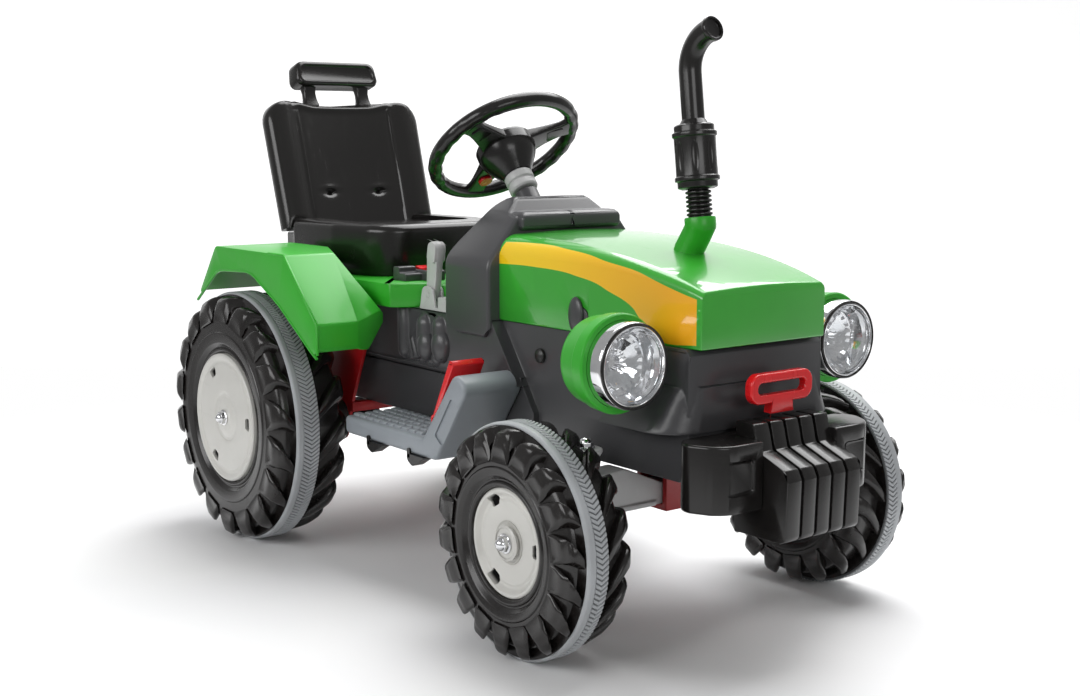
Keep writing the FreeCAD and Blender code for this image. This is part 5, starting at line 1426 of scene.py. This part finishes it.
def spoke_covers():
    """Thin covers let into the underside of two spokes."""
    plates = []
    for angle in COVERED_SPOKES:
        turn = math.radians(angle)
        sections = []
        for low, inset in ((-7.0, 0.0), (-8.4, 0.0), (-9.2, 0.5), (-9.4, 1.3)):
            shape = rounded([(63 + inset, inset - 12, 3), (89 - inset, inset - 9, 3), (89 - inset, 9 - inset, 3),
                             (63 + inset, 12 - inset, 3)], True, 30.0)
            sections.append([on_spoke(turn, p.x, p.y, low) for p in shape])
        plate = lofted("plate", sections)
        smooth(plate, 40.0)
        plates.append(plate)
    piece = joined("spoke_plates_moulded", plates)
    finished(piece, "steering", "black_plastic", "spoke_plates")


class TRACTOR_OT_controls(bpy.types.Operator):
    """Models the steering wheel and rounds the lever, switch and small controls"""
    bl_idname = "tractor.controls"
    bl_label = "Controls"

    def execute(self, context):
        steering_wheel()
        spoke_covers()
        for node, edge in (("column_collar", 0.0008), ("horn_button", 0.0005), ("lever_bracket", 0.0006),
                           ("gear_lever", 0.0004), ("switch_base", 0.0009), ("direction_switch", 0.0009),
                           ("charge_socket_cap", 0.0006)):
            cast(node, edge)
        return {"FINISHED"}


# Frame and inner parts

class TRACTOR_OT_inner_parts(bpy.types.Operator):
    """Gives every solid that still shows its own finish"""
    bl_idname = "tractor.inner_parts"
    bl_label = "Frame and inner parts"

    def execute(self, context):
        cast("chassis_frame", 0.0015)
        for name, node in frame["nodes"].items():
            painted(node, finish_of(SLOT_OF[name]))
        return {"FINISHED"}


# Stage

# Soft boxes: name, place, width, height and power
LAMPS = (("top", (-0.3, 0.95, 2.5), 2.5, 2.3, 98.0), ("key", (0.1, -3.0, 1.6), 2.6, 1.2, 44.0),
         ("front", (3.0, -0.8, 1.2), 1.4, 0.8, 11.0))
# Strength of the surroundings: as light, in reflections and to the camera
ROOM_LEVELS = (0.23, 0.36, 1.0)
# Camera: focal length and sensor in millimetres, place, and the directions to the right and up in its picture
EYE_LENS, EYE_SENSOR = 47.77, 36.0
EYE_SPOT = (1992.5, -1236.2, 610.2)
EYE_RIGHT, EYE_UP = Vector((0.60973, 0.79262, 0.0)), Vector((-0.11469, 0.08823, 0.98950))


def floor_finish(name):
    """Pale matt floor that fades into the white background away from the tractor."""
    f = Finish(name, Metallic=0.0, Roughness=0.9)
    f.set(Specular_IOR_Level=0.2)
    x, y = f.axes()[:2]
    far = x * x + y * y
    cloud = f.noise(3.0, 2.0)
    f.set(Base_Color=f.mix((0.90, 0.90, 0.91), (0.93, 0.93, 0.93), cloud.fade(0.3, 0.7)))
    f.set(Alpha=1.0 - far.fade(0.75, 2.6))
    return f.material


def lamp(scene, name, spot, wide, high, power):
    """Soft box aimed at the tractor."""
    light = bpy.data.lights.new(name, "AREA")
    light.shape = "RECTANGLE"
    light.size = wide
    light.size_y = high
    light.energy = power
    holder = bpy.data.objects.new(name, light)
    scene.collection.objects.link(holder)
    holder.location = spot
    aim = Vector((0.0, 0.0, 0.3)) - Vector(spot)
    holder.rotation_euler = aim.to_track_quat("-Z", "Y").to_euler()


def room(scene):
    """White to the camera, grey in reflections and through clear pieces, dim as light."""
    world = bpy.data.worlds.new("soft_room")
    scene.world = world
    world.use_nodes = True
    tree = world.node_tree
    tree.nodes.clear()
    path = tree.nodes.new("ShaderNodeLightPath")
    shades = []
    for level in ROOM_LEVELS:
        ground = tree.nodes.new("ShaderNodeBackground")
        ground.inputs[0].default_value = (1.0, 1.0, 1.0, 1.0)
        ground.inputs[1].default_value = level
        shades.append(ground.outputs[0])
    mixed = shades[0]
    for ray, level in (("Is Glossy Ray", 1), ("Is Transmission Ray", 1), ("Is Camera Ray", 2)):
        blend = tree.nodes.new("ShaderNodeMixShader")
        tree.links.new(path.outputs[ray], blend.inputs[0])
        tree.links.new(mixed, blend.inputs[1])
        tree.links.new(shades[level], blend.inputs[2])
        mixed = blend.outputs[0]
    output = tree.nodes.new("ShaderNodeOutputWorld")
    tree.links.new(mixed, output.inputs[0])


class TRACTOR_OT_stage(bpy.types.Operator):
    """Sets the floor, the lights, the background and the camera"""
    bl_idname = "tractor.stage"
    bl_label = "Stage"

    def execute(self, context):
        scene = context.scene
        deselect()
        bpy.ops.mesh.primitive_plane_add(size=14.0, location=(0.0, 0.0, -0.0005))
        floor = context.object
        floor.name = "floor"
        floor.data.materials.append(floor_finish("pale_floor"))
        bpy.ops.mesh.primitive_plane_add(size=1.0)
        card = context.object
        card.name = "backdrop"
        edit(card)
        pick_all()
        bpy.ops.transform.resize(value=(9.0, 5.4, 1.0))
        bpy.ops.transform.rotate(value=math.radians(-90.0), orient_axis="X", center_override=(0, 0, 0))
        leave()
        card.location = (-2.9, 2.2, 2.4)
        card.rotation_euler = (0.0, 0.0, math.radians(52.4))
        bpy.ops.object.transform_apply(location=True, rotation=True, scale=True)
        paper = Finish("white_backdrop", Roughness=0.9)
        paper.set(Base_Color=(0.9, 0.9, 0.9), Emission_Color=(1.0, 1.0, 1.0), Emission_Strength=0.7)
        card.data.materials.append(paper.material)
        room(scene)
        for box in LAMPS:
            lamp(scene, *box)
        eye = bpy.data.cameras.new("eye")
        eye.lens = EYE_LENS
        eye.sensor_width = EYE_SENSOR
        camera = bpy.data.objects.new("eye", eye)
        scene.collection.objects.link(camera)
        turn = Matrix((EYE_RIGHT, EYE_UP, EYE_RIGHT.cross(EYE_UP))).transposed().to_4x4()
        camera.matrix_world = Matrix.Translation(at(*EYE_SPOT)) @ turn
        scene.camera = camera
        scene.view_settings.view_transform = "Standard"
        return {"FINISHED"}


OPERATORS = (TRACTOR_OT_tyres, TRACTOR_OT_bands, TRACTOR_OT_hubs, TRACTOR_OT_shells, TRACTOR_OT_seat,
             TRACTOR_OT_front_end, TRACTOR_OT_footrests, TRACTOR_OT_headlights, TRACTOR_OT_exhaust,
             TRACTOR_OT_controls, TRACTOR_OT_inner_parts, TRACTOR_OT_stage)


class TRACTOR_PT_panel(bpy.types.Panel):
    """Sidebar panel with the pieces, sizes and colours"""
    bl_label = "Ride-on tractor"
    bl_idname = "TRACTOR_PT_panel"
    bl_space_type = "VIEW_3D"
    bl_region_type = "UI"
    bl_category = "Tractor"

    def draw(self, context):
        for group in (context.scene.tractor_sizes, context.scene.tractor_colours):
            box = self.layout.box()
            for key in group.__annotations__:
                box.prop(group, key)
        for operator in OPERATORS:
            self.layout.operator(operator.bl_idname)


CLASSES = (TractorSizes, TractorColours) + OPERATORS + (TRACTOR_PT_panel,)


def register():
    for item in CLASSES:
        bpy.utils.register_class(item)
    bpy.types.Scene.tractor_sizes = bpy.props.PointerProperty(type=TractorSizes)
    bpy.types.Scene.tractor_colours = bpy.props.PointerProperty(type=TractorColours)


def unregister():
    del bpy.types.Scene.tractor_colours
    del bpy.types.Scene.tractor_sizes
    for item in reversed(CLASSES):
        bpy.utils.unregister_class(item)


def main():
    register()
    for operator in OPERATORS:
        group, call = operator.bl_idname.split(".")
        getattr(getattr(bpy.ops, group), call)()


if __name__ == "__main__":
    main()
